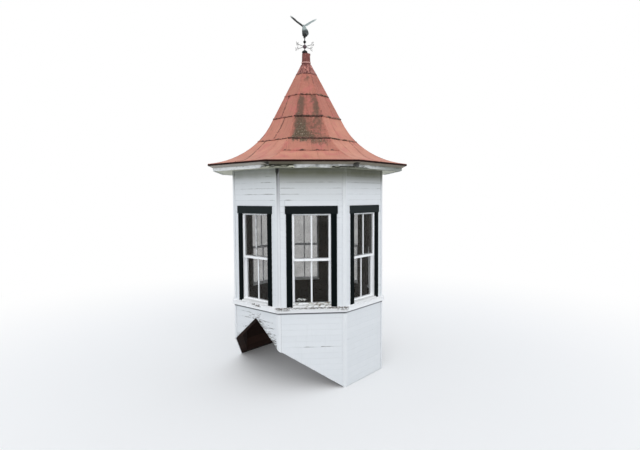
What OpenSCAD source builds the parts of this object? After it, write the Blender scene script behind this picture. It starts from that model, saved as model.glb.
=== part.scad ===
// Octagonal barn cupola that straddles the ridge of a gable roof.
// Millimetres, +Z up. The barn's ridge runs along X. The origin is on the cupola's
// axis, at the height of its two level walls' feet.

/* [Plan] */
// Width across the walls, face to face
wall_across = 2910; // [2500:10:3300]
// Width across the roof's edge, flat to flat
eave_across = 3830; // [3670:10:4030]
// Thickness of the walls
wall_t = 120; // [95:1:160]
// Pitch of the barn roof that the walls are cut to, in degrees
barn_pitch = 40.3; // [34:0.1:42]
// Width of the flat foot under the two level walls
foot_w = 10; // [4:1:25]

/* [Heights] */
// Top of the belt course above the foot
belt_top_z = 1507; // [1480:1:1700]
// Underside of the soffit above the foot
soffit_z = 4005; // [3700:1:4300]

/* [Belt course] */
// Height of the belt course
belt_h = 100; // [70:1:140]
// How far the belt course stands out from the walls
belt_out = 52; // [35:1:80]
// Drop of the belt's weathered top
belt_fall = 16; // [5:1:30]
// Bevel along the belt course's foot
belt_bevel = 6; // [2:1:12]
// Level strip of the belt course's top in front of the casings
belt_seat = 3; // [1:1:8]

/* [Corner boards] */
// Width of each corner board
corner_w = 48; // [30:1:80]
// Thickness of the corner boards
corner_t = 18; // [12:1:22]

/* [Window opening] */
// Clear width between the casings
window_w = 700; // [600:2:740]
// Height of the opening's head
window_head_z = 3190; // [2900:1:3400]
// Thickness of the jambs that line the opening
jamb_t = 18; // [12:1:24]
// How far the stops stand into the opening
stop_w = 12; // [8:1:16]
// Thickness of each stop, through the wall
stop_t = 12; // [8:1:14]
// Height of the sill
sill_h = 34; // [30:1:55]
// How far the sill stands out from the wall
sill_out = 48; // [32:1:60]
// Drop of the sill's sloping outer part
sill_fall = 8; // [3:1:15]

/* [Casings] */
// Width of the side casings
casing_w = 106; // [80:1:118]
// Thickness of the side casings
casing_t = 24; // [15:1:30]
// Height of the head casing
head_h = 142; // [90:1:180]
// Thickness of the head casing
head_t = 30; // [20:1:36]
// How far the head casing runs past each side casing
head_ear = 17; // [5:1:25]

/* [Sashes] */
// Thickness of the sashes
sash_t = 35; // [28:1:38]
// Width of the sash stiles
stile_w = 44; // [36:1:70]
// Height of the upper sash's top rail
top_rail_h = 28; // [22:1:70]
// Height of the meeting rails
meeting_rail_h = 50; // [35:1:60]
// Height of the lower sash's bottom rail
bottom_rail_h = 34; // [28:1:100]
// Clearance beside and above the sashes
sash_play = 1.5; // [0.5:0.1:3]
// Thickness of the glass
pane_t = 4; // [3:0.5:6]
// Depth of the glazing rebate
rebate_d = 14; // [9:1:18]
// Width of the glazing rebate
rebate_w = 9; // [6:1:14]

/* [Cornice] */
// Height from the soffit's underside to the roof's edge
cornice_h = 114; // [104:1:180]
// Set-back of the fascia's face from the roof's edge
fascia_set = 90; // [60:1:130]
// Thickness of the fascia boards
fascia_t = 20; // [15:1:30]
// How far the fascia hangs below the soffit
fascia_lip = 15; // [5:1:30]
// Length of fascia lost from the west end of the southwest side
fascia_lost = 420; // [0:5:900]
// Thickness of the soffit boards
soffit_t = 20; // [12:1:25]
// Height of the crown moulding's foot above the soffit's underside
crown_foot = 45; // [30:1:60]
// Thickness of the crown moulding's foot
crown_t = 8; // [5:1:15]
// Set-back of the crown moulding's lip from the drip edge
crown_set = 9; // [5:1:20]
// Height of the crown moulding's lip
crown_lip = 8; // [5:1:12]
// Reach and rise of the cove at the crown moulding's foot
crown_cove = [22, 12];
// Reach and rise of the round below the lip
crown_round = [10, 7];
// How far the walls rise above the soffit boards
wall_rise = 55; // [30:1:60]

/* [Roof] */
// Slope of the roof at its edge, in degrees
eave_pitch = 6.4; // [3:0.1:12]
// Radius of the bell-cast curve
bell_r = 1522; // [1350:1:1650]
// Slope of the spire above the curve, in degrees
spire_pitch = 63.4; // [60:0.1:66]
// Thickness of the boarded deck with its metal
deck_t = 25; // [18:1:35]
// Half width across the deck's top edge, face to face
neck_a = 92; // [88:1:110]
// Number of raised cross seams, which share the height from the edge to the boot
cross_seams_n = 3; // [1:1:6]
// Width of each side of a hip cap
hip_cap_w = 19; // [15:1:40]
// Thickness of the hip caps
hip_cap_t = 5; // [4:1:15]
// Width of a raised cross seam
seam_w = 24; // [12:1:40]
// Height of a raised cross seam
seam_t = 12; // [5:1:20]
// Thickness of the drip edge
drip_t = 5; // [3:0.5:8]
// How far the drip edge hangs below the deck, inside and outside
drip_hang = [3, 6];
// How far the drip edge stands above the roof's edge
drip_lip = 2; // [1:0.5:2]

/* [Roof frame] */
// Thickness of the hip rafters
rafter_t = 50; // [38:1:54]
// Depth of the hip rafters
rafter_d = 100; // [80:1:120]
// Height of the wall plate
plate_h = 80; // [60:1:90]
// Width of the wall plate
plate_w = 100; // [80:1:110]
// Half width across the mast block's flats
block_a = 66; // [66:1:72]
// Length of the mast block
block_l = 550; // [400:10:700]
// Depth of the mast block's top below the neck
block_drop = 50; // [45:5:80]
// Height of the hip rafters' bearing against the block
rafter_foot = 200; // [120:5:280]

/* [Spire top] */
// Height of the boot of sheet metal below the neck
boot_h = 224; // [150:1:280]
// Thickness of the boot
boot_t = 5; // [3:0.5:8]
// Radius of the sleeve at its foot
sleeve_r = 88; // [82:1:91]
// Radius of the sleeve at its top
sleeve_top_r = 82; // [76:1:88]
// Height of the sleeve
sleeve_h = 250; // [180:1:350]
// Wall of the sleeve
sleeve_wall = 4; // [3:0.5:6]
// Height of the neck collar
collar_h = 56; // [40:1:80]
// How far the collar's bead stands out from the sleeve
collar_out = 10; // [6:1:16]
// Height of the collar's bead
bead_h = 20; // [12:1:30]
// How far the bead stands out from the rest of the collar
bead_out = 5; // [3:0.5:5]
// Bevels of the bead, below and above
bead_bevel = [4, 3];

/* [Vane mast] */
// Place of the mast from the axis, along X
vane_x = -17; // [-20:1:20]
// Place of the mast from the axis, along Y
vane_y = 20; // [-20:1:20]
// Radius of the mast
mast_r = 8; // [6:0.5:10]
// Radius of the pin that the bird turns on
pin_r = 5; // [3.5:0.5:5.5]
// Length of the pin above the upper ball
pin_l = 160; // [130:1:180]
// Depth of the mast in its block
mast_depth = 180; // [100:5:300]
// Radius of the dome at the mast's foot
dome_r = 57; // [45:1:65]
// Height of the dome's centre above the sleeve
dome_lift = 3; // [0:1:10]
// Wall of the neck on top of the dome, round the mast
dome_neck_w = 6; // [4:1:10]
// Height of that neck above the dome
dome_neck_h = 8; // [4:1:20]
// Radius of the compass ball
ball_r = 41; // [32:1:48]
// Height of the compass ball above the sleeve
ball_h = 125; // [115:1:140]
// Radius of the upper ball
top_ball_r = 30; // [22:1:36]
// Height of the upper ball above the compass ball
top_ball_h = 95; // [88:1:130]
// Radius of the compass arms
arm_r = 5; // [3:0.5:7]
// Length of each compass arm from the mast
arm_l = 195; // [150:1:260]

/* [Bird] */
// Heading of the bird, in degrees from +X
bird_heading = 57; // [0:1:359]
// Wall of the tube that the bird turns on
tube_wall = 3.5; // [2.5:0.5:5]
// Gap between the upper ball and the tube, which hangs on the pin's top
tube_gap = 1.5; // [1:0.5:4]
// Thickness of the tube's closed top, above the pin
tube_cap = 12; // [8:1:20]
// Height of the body's foot above the upper ball
bird_lift = 98; // [80:1:110]
// Greatest radius of the body
body_r = 55; // [45:1:65]
// Length of the body
body_l = 232; // [200:1:270]
// Lean of the body from upright, in degrees
body_lean = 21; // [10:1:30]
// Radius of the head
head_r = 25; // [20:1:30]
// Length of the beak
beak_l = 34; // [20:1:50]
// Reach of a wing from the shoulder
wing_l = 350; // [260:1:380]
// Width of a wing at its root
wing_root = 104; // [80:1:130]
// Width of a wing near its tip
wing_tip = 66; // [40:1:80]
// Thickness of the wings and the tail
wing_t = 11; // [5:1:16]
// Rise of the wings, in degrees
wing_rise = 37; // [20:0.5:45]
// Forward sweep of the wings, in degrees
wing_sweep = 21; // [0:1:30]
// Tilt of the wings about their length, leading edge up, in degrees
wing_pitch = 14; // [0:1:25]
// How far the leading edge falls back at the tip
wing_fall = 50; // [30:1:60]
// Number of feathers cut into the trailing edge
feathers_n = 8; // [5:1:10]
// Depth of the cuts between them
feather_cut = 10; // [4:1:14]
// Number of feathers in the tail
tail_n = 7; // [5:1:9]
// Length of the tail
tail_l = 145; // [110:1:180]
// Width of the tail's fan
tail_w = 76; // [60:1:120]
// Slope of the tail below level, in degrees
tail_drop = 52; // [30:1:60]

/* [Hidden] */
SIDES = ["south", "southeast", "east", "northeast", "north", "northwest", "west", "southwest"];
$fn = 48;

// An octagon's side is 2 * TAN of its half width; HIP turns a half width into a corner radius.
SIDE_N = 8;
STEP = 360 / SIDE_N;
TAN = tan(STEP / 2);
HIP = 1 / cos(STEP / 2);
// Play of a timber joint, and of a fit between two round pieces
joint = 0.4;
fit = 0.3;
// Enough to cut clean through
past = 60;

// Walls
wall_a = wall_across / 2;
inner_a = wall_a - wall_t;
wall_top_z = soffit_z + soffit_t + wall_rise;
foot_a = wall_a - foot_w;
ridge_z = foot_a * tan(barn_pitch);
belt_z = belt_top_z - belt_h;
board_a = wall_a + corner_t;

// Window, across and through the wall; depths run inward from the wall's face
half_w = window_w / 2;
hole_half = half_w + jamb_t;
hole_top_z = window_head_z + jamb_t;
sill_top_z = belt_top_z + sill_h;
upper_d = stop_t + fit;
bead_d = upper_d + sash_t + fit;
lower_d = bead_d + stop_t + fit;
stop_d = lower_d + sash_t + fit;
sash_half = half_w - sash_play;
sight_half = sash_half - stile_w;
pane_half = sight_half + rebate_w - 1;
meeting_z = (sill_top_z + window_head_z) / 2;

// Cornice
eave_z = soffit_z + cornice_h;
eave_a = eave_across / 2;
edge_a = eave_a - drip_t;
fascia_a = eave_a - fascia_set;
soffit_a = fascia_a - fascia_t;
fascia_z = soffit_z - fascia_lip;
crown_z = soffit_z + crown_foot;
crown_a = edge_a - crown_set;

// Roof curve: an arc from the eave, then a straight spire
bell_x = eave_a + bell_r * sin(eave_pitch);
bell_z = eave_z + bell_r * cos(eave_pitch);
BELL_N = 9;
neck_z = curve_z(neck_a, 0);
plate_z = wall_top_z + plate_h;

// Spire top
boot_z = neck_z - boot_h;
course_h = (boot_z - eave_z) / (cross_seams_n + 1);
sleeve_z = neck_z + sleeve_h;
block_z = neck_z - block_drop;

// Vane
ball_z = sleeve_z + ball_h;
top_ball_z = ball_z + top_ball_h;
pin_z = top_ball_z + top_ball_r;
bird_z = pin_z + bird_lift;
tube_r = pin_r + fit + tube_wall;
neck = [body_l * sin(body_lean) - body_r * 0.6, body_l * cos(body_lean)];
shoulder_z = bird_z + body_l * 0.86;

// Point on the roof's curve at slope angle t, sunk by s below the surface
function bell(t, s) = [bell_x - (bell_r + s) * sin(t), bell_z - (bell_r + s) * cos(t)];
// Height of the surface sunk by s, at half width a
function curve_z(a, s) =
    let (top = bell(spire_pitch, s))
    a < top[0] ? top[1] + (top[0] - a) * tan(spire_pitch)
               : bell_z - (bell_r + s) * cos(asin((bell_x - a) / (bell_r + s)));
// Half width of the surface sunk by s on the straight spire, at height z
function spire_a(z, s) =
    let (top = bell(spire_pitch, s)) top[0] - (z - top[1]) / tan(spire_pitch);
// Slope angle of the surface sunk by s at half width a
function bell_angle(a, s) = asin((bell_x - a) / (bell_r + s));
// Points along the surface sunk by s, from half width a up to height z
function curve(a, z, s) = concat(
    [for (k = [0:BELL_N])
        bell(bell_angle(a, s) + (spire_pitch - bell_angle(a, s)) * k / BELL_N, s)],
    [[spire_a(z, s), z]]
);
function reversed(p) = [for (k = [len(p) - 1:-1:0]) p[k]];

// Turns a piece drawn on the south side to side i
module at_side(i) {
    rotate([0, 0, STEP * i]) children();
}

// Moves a piece drawn from the wall's face, +Y inward, to side i
module at_wall(i) {
    at_side(i) translate([0, -wall_a, 0]) children();
}

// The sector that side 0 may fill, less half a joint at each mitre
module sector(play) {
    far = eave_a + past;
    linear_extrude(height = 4 * eave_z, center = true)
        polygon([
            [0, -play / 2 / sin(STEP / 2)],
            [-far * TAN, -far - play / 2 / sin(STEP / 2)],
            [far * TAN, -far - play / 2 / sin(STEP / 2)]
        ]);
}

// A length of moulding on side 0 with the section pts, given as [half width, height]
module run(pts, play = joint) {
    intersection() {
        rotate([90, 0, -90])
            linear_extrude(height = 2 * (eave_a + past), center = true) polygon(pts);
        sector(play);
    }
}

// The same moulding on all eight sides, mitred at the corners
module ring(pts, play = joint) {
    for (i = [0:SIDE_N - 1]) at_side(i) run(pts, play);
}

// The wedge of barn roof that the walls are cut to
module barn_roof() {
    low_a = foot_a + past / tan(barn_pitch);
    rotate([90, 0, 90])
        linear_extrude(height = 2 * (wall_a + past + belt_out), center = true)
            polygon([[-low_a, -past], [0, ridge_z], [low_a, -past]]);
}

// One wall with mitred ends, its window opening and its cut to the barn roof
module wall(i) {
    color("whitesmoke")
        difference() {
            at_side(i) run([
                [inner_a, 0],
                [wall_a, 0],
                [wall_a, wall_top_z],
                [inner_a, wall_top_z]
            ]);
            at_wall(i) translate([-hole_half, -past, belt_top_z])
                cube([2 * hole_half, wall_t + 2 * past, hole_top_z - belt_top_z]);
            barn_roof();
        }
}

// One of the two boards that meet at a corner, s = -1 or 1 for the end of the side
module corner_board(s, z0, z1) {
    end = board_a * TAN;
    translate([0, 0, z0]) linear_extrude(height = z1 - z0)
        polygon([
            [s * (end - joint / 2), -board_a],
            [s * (end - corner_w), -board_a],
            [s * (end - corner_w), -wall_a],
            [s * (wall_a * TAN - joint / 2), -wall_a]
        ]);
}

module corner_boards() {
    color("white")
        for (i = [0:SIDE_N - 1], s = [-1, 1]) {
            at_side(i) corner_board(s, belt_top_z, soffit_z);
            difference() {
                at_side(i) corner_board(s, 0, belt_z);
                barn_roof();
            }
        }
}

module belt_course() {
    flat_a = wall_a + casing_t + belt_seat;
    out_a = wall_a + belt_out;
    color("white")
        ring([
            [wall_a, belt_z],
            [out_a - belt_bevel, belt_z],
            [out_a, belt_z + belt_bevel],
            [out_a, belt_top_z - belt_fall],
            [flat_a, belt_top_z],
            [wall_a, belt_top_z]
        ]);
}

// Jambs and head with their three stops: outside, parting bead and inside
module window_frame() {
    depths = [[0, stop_t], [bead_d, stop_t], [stop_d, stop_t]];
    difference() {
        translate([-hole_half, 0, belt_top_z])
            cube([2 * hole_half, wall_t, hole_top_z - belt_top_z]);
        translate([-half_w, -past, belt_top_z - past])
            cube([2 * half_w, wall_t + 2 * past, window_head_z - belt_top_z + past]);
    }
    for (d = depths) difference() {
        translate([-half_w - 1, d[0], sill_top_z])
            cube([2 * half_w + 2, d[1], window_head_z - sill_top_z + 1]);
        translate([-half_w + stop_w, -past, belt_top_z])
            cube([window_w - 2 * stop_w, wall_t + 2 * past, window_head_z - stop_w - belt_top_z]);
    }
}

module window_frames() {
    color("white")
        for (i = [0:SIDE_N - 1]) at_wall(i) window_frame();
}

// The sill's top is level under the sashes and slopes outside them
module window_sills() {
    color("gainsboro")
        for (i = [0:SIDE_N - 1]) at_wall(i)
            rotate([90, 0, 90])
                linear_extrude(height = window_w - 2 * joint, center = true)
                    polygon([
                        [-sill_out, belt_top_z],
                        [wall_t, belt_top_z],
                        [wall_t, sill_top_z],
                        [0, sill_top_z],
                        [-sill_out, sill_top_z - sill_fall]
                    ]);
}

module side_casings() {
    color("darkslategray")
        for (i = [0:SIDE_N - 1], s = [0, 1]) at_wall(i) mirror([s, 0, 0])
            translate([half_w, -casing_t, belt_top_z])
                cube([casing_w, casing_t, window_head_z - belt_top_z]);
}

module head_casings() {
    head_half = half_w + casing_w + head_ear;
    color("darkslategray")
        for (i = [0:SIDE_N - 1]) at_wall(i)
            translate([-head_half, -head_t, window_head_z])
                cube([2 * head_half, head_t, head_h]);
}

// A sash from z0 to z1 at depth d, with rails of the given heights and a glazing rebate
module sash(d, z0, z1, low_rail, high_rail) {
    difference() {
        translate([-sash_half, d, z0]) cube([2 * sash_half, sash_t, z1 - z0]);
        translate([-sight_half, d - past, z0 + low_rail])
            cube([2 * sight_half, sash_t + 2 * past, z1 - z0 - low_rail - high_rail]);
        translate([-sight_half - rebate_w, d - past, z0 + low_rail - rebate_w])
            cube([
                2 * (sight_half + rebate_w),
                past + rebate_d,
                z1 - z0 - low_rail - high_rail + 2 * rebate_w
            ]);
    }
}

// The glass that rests in the rebate of such a sash
module pane(d, z0, z1, low_rail, high_rail) {
    translate([-pane_half, d + rebate_d - pane_t, z0 + low_rail - rebate_w])
        cube([2 * pane_half, pane_t, z1 - z0 - low_rail - high_rail + 2 * rebate_w - 1]);
}

upper_z0 = meeting_z - meeting_rail_h / 2;
upper_z1 = window_head_z - sash_play;
lower_z0 = sill_top_z;
lower_z1 = meeting_z + meeting_rail_h / 2;

module upper_sashes() {
    color("white")
        for (i = [0:SIDE_N - 1]) at_wall(i)
            sash(upper_d, upper_z0, upper_z1, meeting_rail_h, top_rail_h);
}

module lower_sashes() {
    color("white")
        for (i = [0:SIDE_N - 1]) at_wall(i)
            sash(lower_d, lower_z0, lower_z1, bottom_rail_h, meeting_rail_h);
}

module window_panes() {
    color("lightsteelblue")
        for (i = [0:SIDE_N - 1]) at_wall(i) {
            pane(upper_d, upper_z0, upper_z1, meeting_rail_h, top_rail_h);
            pane(lower_d, lower_z0, lower_z1, bottom_rail_h, meeting_rail_h);
        }
}

module soffit() {
    color("gainsboro")
        ring([
            [wall_a, soffit_z],
            [soffit_a, soffit_z],
            [soffit_a, soffit_z + soffit_t],
            [wall_a, soffit_z + soffit_t]
        ]);
}

// The southwest board has lost its west end
module fascia() {
    face = [
        [soffit_a, fascia_z],
        [fascia_a, fascia_z],
        [fascia_a, curve_z(fascia_a, deck_t) - 1],
        [soffit_a, curve_z(fascia_a, deck_t) - 1]
    ];
    color("white")
        for (i = [0:SIDE_N - 1]) at_side(i) difference() {
            run(face);
            if (SIDES[i] == "southwest" && fascia_lost > 0)
                translate([-fascia_a * TAN - past, -fascia_a - past, fascia_z - past])
                    cube([fascia_lost + past, fascia_t + 2 * past, cornice_h + 2 * past]);
        }
}

module crown_moulding() {
    lip_z = curve_z(crown_a, deck_t) - 1;
    color("white")
        ring([
            [fascia_a, crown_z],
            [fascia_a + crown_t, crown_z],
            [fascia_a + crown_t + crown_cove[0], crown_z + crown_cove[1]],
            [crown_a - crown_round[0], lip_z - crown_lip - crown_round[1]],
            [crown_a, lip_z - crown_lip],
            [crown_a, lip_z],
            [fascia_a, curve_z(fascia_a, deck_t) - 1]
        ]);
}

module wall_plate() {
    color("saddlebrown")
        ring([
            [inner_a, wall_top_z],
            [inner_a + plate_w, wall_top_z],
            [inner_a + plate_w, plate_z],
            [inner_a, plate_z]
        ]);
}

// Hip rafters follow the bell-cast from the fascia to the mast block; each is notched over
// the plate, and set low enough that its square edges meet the two slopes of the deck
module hip_rafters() {
    sunk = rafter_t / 2 * TAN + 1;
    under = deck_t + rafter_d;
    low_z = block_z - rafter_foot;
    top_z = hip_under_z(block_a + sunk);
    low = [for (p = curve(inner_a, low_z, under)) [p[0] * HIP - sunk, p[1]]];
    high = [for (p = curve(edge_a, top_z, deck_t)) [p[0] * HIP - sunk, p[1]]];
    color("saddlebrown")
        for (i = [0:SIDE_N - 1]) at_side(i + 0.5) intersection() {
            rotate([90, 0, -90]) linear_extrude(height = rafter_t, center = true)
                polygon(concat(
                    high,
                    [[0, top_z], [0, low_z]],
                    reversed(low),
                    [
                        [inner_a * HIP - sunk, plate_z],
                        [(wall_a + 1) * HIP, plate_z],
                        [(wall_a + 1) * HIP, soffit_z + soffit_t],
                        [edge_a * HIP - sunk, soffit_z + soffit_t]
                    ]
                ));
            translate([-rafter_t, sunk - soffit_a * HIP, soffit_z])
                cube([2 * rafter_t, soffit_a * HIP - sunk - block_a - joint / 2, top_z]);
        }
}

// Height of the deck's underside where a hip rafter of corner radius r meets it
function hip_under_z(r) = curve_z(r / HIP, deck_t);

module mast_block() {
    color("sienna")
        difference() {
            translate([0, 0, block_z - block_l])
                cylinder(r = block_a * HIP, h = block_l, $fn = SIDE_N);
            translate([vane_x, vane_y, block_z - mast_depth])
                cylinder(r = mast_r + fit, h = mast_depth + past);
        }
}

// One boarded slope of the bell-cast roof with its sheet metal
module roof_side(i) {
    color("indianred")
        at_side(i) run(concat(
            curve(edge_a, neck_z, 0),
            reversed(curve(edge_a, neck_z, deck_t))
        ));
}

module drip_edge() {
    color("maroon")
        ring([
            [edge_a, curve_z(edge_a, deck_t) - drip_hang[0]],
            [eave_a, curve_z(edge_a, deck_t) - drip_hang[1]],
            [eave_a, eave_z + drip_lip],
            [edge_a, eave_z + drip_lip]
        ]);
}

// A band of sheet metal t thick on the roof's surface, from half width a up to height z
module skin(a, z, t) {
    run(concat(curve(a, z, -t), reversed(curve(a, z, 0))), 0);
}

// What lies within w of a hip on side 0
module hip_strip(w) {
    far = eave_a + past;
    for (s = [-1, 1])
        linear_extrude(height = 4 * eave_z, center = true)
            polygon([
                [0, 0],
                [s * far * TAN, -far],
                [s * (far * TAN - w * HIP), -far],
                [0, -w / sin(STEP / 2)]
            ]);
}

// All that lies under the roof's surface on side 0, raised by t and cut off w past its edge
module under_skin(t, w) {
    edge_z = curve_z(edge_a, -t);
    rotate([90, 0, -90])
        linear_extrude(height = 4 * eave_a, center = true)
            polygon(concat(
                [[-eave_a, soffit_z - w], [edge_a + w, soffit_z - w], [edge_a + w, edge_z]],
                curve(edge_a, neck_z + w, -t),
                [[-eave_a, neck_z + w]]
            ));
}

// Sheet metal t thick on the roof's surface round all the given sides, bent over the hips
module bent_skin(sides, t) {
    difference() {
        intersection_for (i = sides) at_side(i) under_skin(t, 0);
        intersection_for (i = sides) at_side(i) under_skin(0, past);
    }
}

// Each cap is one strip of metal bent over its hip
module hip_caps() {
    color("firebrick")
        for (i = [0:SIDE_N - 1]) at_side(i + 0.5) intersection() {
            bent_skin([-0.5, 0.5], hip_cap_t);
            translate([-hip_cap_w, -2 * eave_a, 0])
                cube([2 * hip_cap_w, 2 * eave_a, boot_z]);
        }
}

// Raised seams where one course of sheet metal is folded over the next
module cross_seams() {
    color("maroon")
        for (i = [0:SIDE_N - 1], k = [1:cross_seams_n])
            at_side(i) seam(eave_z + k * course_h);
}

module seam(z) {
    difference() {
        intersection() {
            skin(edge_a, neck_z, seam_t);
            translate([0, -eave_a / 2, z]) cube([2 * eave_a, eave_a, seam_w], center = true);
        }
        hip_strip(hip_cap_w + joint);
    }
}

module spire_boot() {
    color("brown")
        intersection() {
            bent_skin([0:SIDE_N - 1], boot_t);
            translate([-eave_a, -eave_a, boot_z])
                cube([2 * eave_a, 2 * eave_a, neck_z - boot_z]);
        }
}

module neck_collar() {
    seat = sleeve_r + fit;
    color("rosybrown")
        translate([0, 0, neck_z])
            rotate_extrude()
                polygon([
                    [seat, 0],
                    [seat + collar_out - bead_out, 0],
                    [seat + collar_out - bead_out, collar_h - bead_h],
                    [seat + collar_out, collar_h - bead_h + bead_bevel[0]],
                    [seat + collar_out, collar_h - bead_bevel[1]],
                    [seat + collar_out - bead_bevel[1], collar_h],
                    [seat, collar_h]
                ]);
}

module cap_sleeve() {
    color("brown")
        difference() {
            translate([0, 0, neck_z])
                cylinder(r1 = sleeve_r, r2 = sleeve_top_r, h = sleeve_h);
            translate([0, 0, neck_z - 1])
                cylinder(
                    r1 = sleeve_r - sleeve_wall,
                    r2 = sleeve_top_r - sleeve_wall,
                    h = sleeve_h - sleeve_wall
                );
            translate([vane_x, vane_y, neck_z])
                cylinder(r = mast_r + fit, h = sleeve_h + past);
        }
}

// Puts a piece on the mast's axis
module on_mast(z = 0) {
    translate([vane_x, vane_y, z]) children();
}

module vane_base() {
    collar = mast_r + dome_neck_w;
    color("black")
        on_mast(sleeve_z) difference() {
            union() {
                intersection() {
                    translate([0, 0, dome_lift]) sphere(r = dome_r);
                    cylinder(r = 2 * dome_r, h = 2 * dome_r);
                }
                cylinder(r = collar, h = dome_lift + dome_r + dome_neck_h);
            }
            translate([0, 0, -past]) cylinder(r = mast_r + fit, h = 4 * past);
        }
}

module vane_mast() {
    foot_z = block_z - mast_depth + fit;
    color("dimgray") {
        on_mast(foot_z) cylinder(r = mast_r, h = top_ball_z - foot_z);
        on_mast(top_ball_z) cylinder(r = pin_r, h = pin_z - top_ball_z + pin_l);
    }
}

// A ball threaded on the mast
module ball(r, bore) {
    difference() {
        sphere(r = r);
        translate([0, 0, -2 * r]) cylinder(r = bore, h = 4 * r);
    }
}

module compass_ball() {
    color("sienna") on_mast(ball_z) ball(ball_r, mast_r + fit);
}

module compass_arms() {
    color("dimgray")
        on_mast(ball_z) difference() {
            for (k = [0:3]) rotate([0, 90, 90 * k]) cylinder(r = arm_r, h = arm_l);
            sphere(r = ball_r + fit);
        }
}

module upper_ball() {
    color("black")
        on_mast(top_ball_z) difference() {
            sphere(r = top_ball_r);
            translate([0, 0, -2 * top_ball_r]) cylinder(r = mast_r + fit, h = 2 * top_ball_r + fit);
            cylinder(r = pin_r + fit, h = 2 * top_ball_r);
        }
}

// Puts a piece of the bird, drawn facing +X about the mast's axis, at its heading
module on_bird(z = 0) {
    on_mast(z) rotate([0, 0, bird_heading]) children();
}

module bird_tube() {
    color("dimgray")
        on_mast(pin_z + tube_gap) difference() {
            cylinder(r = tube_r, h = pin_l + tube_cap);
            translate([0, 0, -past]) cylinder(r = pin_r + fit, h = past + pin_l - tube_gap + fit);
        }
}

// Radius of the body at share s of its length, from the rump to the neck
function body_at(s) = body_r * sqrt(max(0, sin(180 * pow(s, 0.72)))) * (1 - 0.25 * s) * 1.13;

// The body, round about its leaning axis
module torso() {
    n = 14;
    translate([-body_r * 0.6, 0, 0]) rotate([0, body_lean, 0]) rotate_extrude()
        polygon([for (k = [0:n]) [body_at(k / n), body_l * k / n]]);
}

module head() {
    translate([neck[0] + 4, 0, neck[1]]) {
        sphere(r = head_r);
        translate([head_r - 6, 0, -4]) rotate([0, 100, 0])
            cylinder(r1 = head_r * 0.45, r2 = 2, h = beak_l);
    }
}

module bird_body() {
    color("slategray")
        on_bird(bird_z) difference() {
            union() {
                torso();
                head();
                translate([-body_r * 0.9, 0, body_l * 0.30])
                    rotate([0, -90 - tail_drop, 0]) tail();
            }
            translate([0, 0, -past])
                cylinder(r = tube_r + fit, h = past + pin_l + tube_gap + tube_cap - bird_lift + fit);
        }
}

// A fan of feathers, drawn flat and extruded
module tail() {
    round_r = tail_w / tail_n / 2;
    rotate([90, 0, 90])
        linear_extrude(height = wing_t, center = true)
            union() {
                polygon([
                    [-tail_w / 5, -3 * round_r],
                    [tail_w / 5, -3 * round_r],
                    [tail_w / 2, tail_l - 2 * round_r],
                    [-tail_w / 2, tail_l - 2 * round_r]
                ]);
                for (k = [0:tail_n - 1])
                    translate([tail_w * ((k + 0.5) / tail_n - 0.5), tail_l - 2 * round_r])
                        circle(r = round_r);
            }
}

// Outline of a wing along +X from the shoulder, with its leading edge towards +Y
function wing_edge() =
    let (n = feathers_n, flat = wing_root / 2)
    concat(
        [
            [0, -flat],
            [-wing_t, 0],
            [0, flat],
            [wing_l * 0.55, flat - wing_fall * 0.08],
            [wing_l * 0.85, flat - wing_fall * 0.44],
            [wing_l, flat - wing_fall]
        ],
        [for (k = [0:n - 1])
            let (u = 1 - (k + 0.35) / n, w = wing_tip + (wing_root - wing_tip) * (1 - u))
            each [
                [wing_l * u, flat - w - feather_cut * 0.6],
                [wing_l * (u - 0.24 / n), flat - w + feather_cut * 0.4]
            ]]
    );

// Each wing is cut to the body that it is soldered to
module bird_wings() {
    root = [neck[0] * 0.6, 16, shoulder_z - bird_z];
    color("slategray")
        on_bird(bird_z) difference() {
            for (s = [0, 1]) mirror([0, s, 0])
                translate(root) rotate([-wing_pitch, -wing_rise, 90 - wing_sweep])
                    linear_extrude(height = wing_t, center = true)
                        mirror([0, 1, 0]) polygon(wing_edge());
            torso();
            head();
        }
}

wall(0);  // wall_south
wall(1);  // wall_southeast
wall(2);  // wall_east
wall(3);  // wall_northeast
wall(4);  // wall_north
wall(5);  // wall_northwest
wall(6);  // wall_west
wall(7);  // wall_southwest
corner_boards();
belt_course();
window_frames();
window_sills();
side_casings();
head_casings();
upper_sashes();
lower_sashes();
window_panes();
soffit();
fascia();
crown_moulding();
wall_plate();
hip_rafters();
mast_block();
roof_side(0);  // roof_south
roof_side(1);  // roof_southeast
roof_side(2);  // roof_east
roof_side(3);  // roof_northeast
roof_side(4);  // roof_north
roof_side(5);  // roof_northwest
roof_side(6);  // roof_west
roof_side(7);  // roof_southwest
drip_edge();
hip_caps();
cross_seams();
spire_boot();
neck_collar();
cap_sleeve();
vane_base();
vane_mast();
compass_ball();
compass_arms();
upper_ball();
bird_tube();
bird_body();
bird_wings();
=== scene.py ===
from functools import partial

import bpy
import numpy as np
from mathutils import Matrix, Vector


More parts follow.
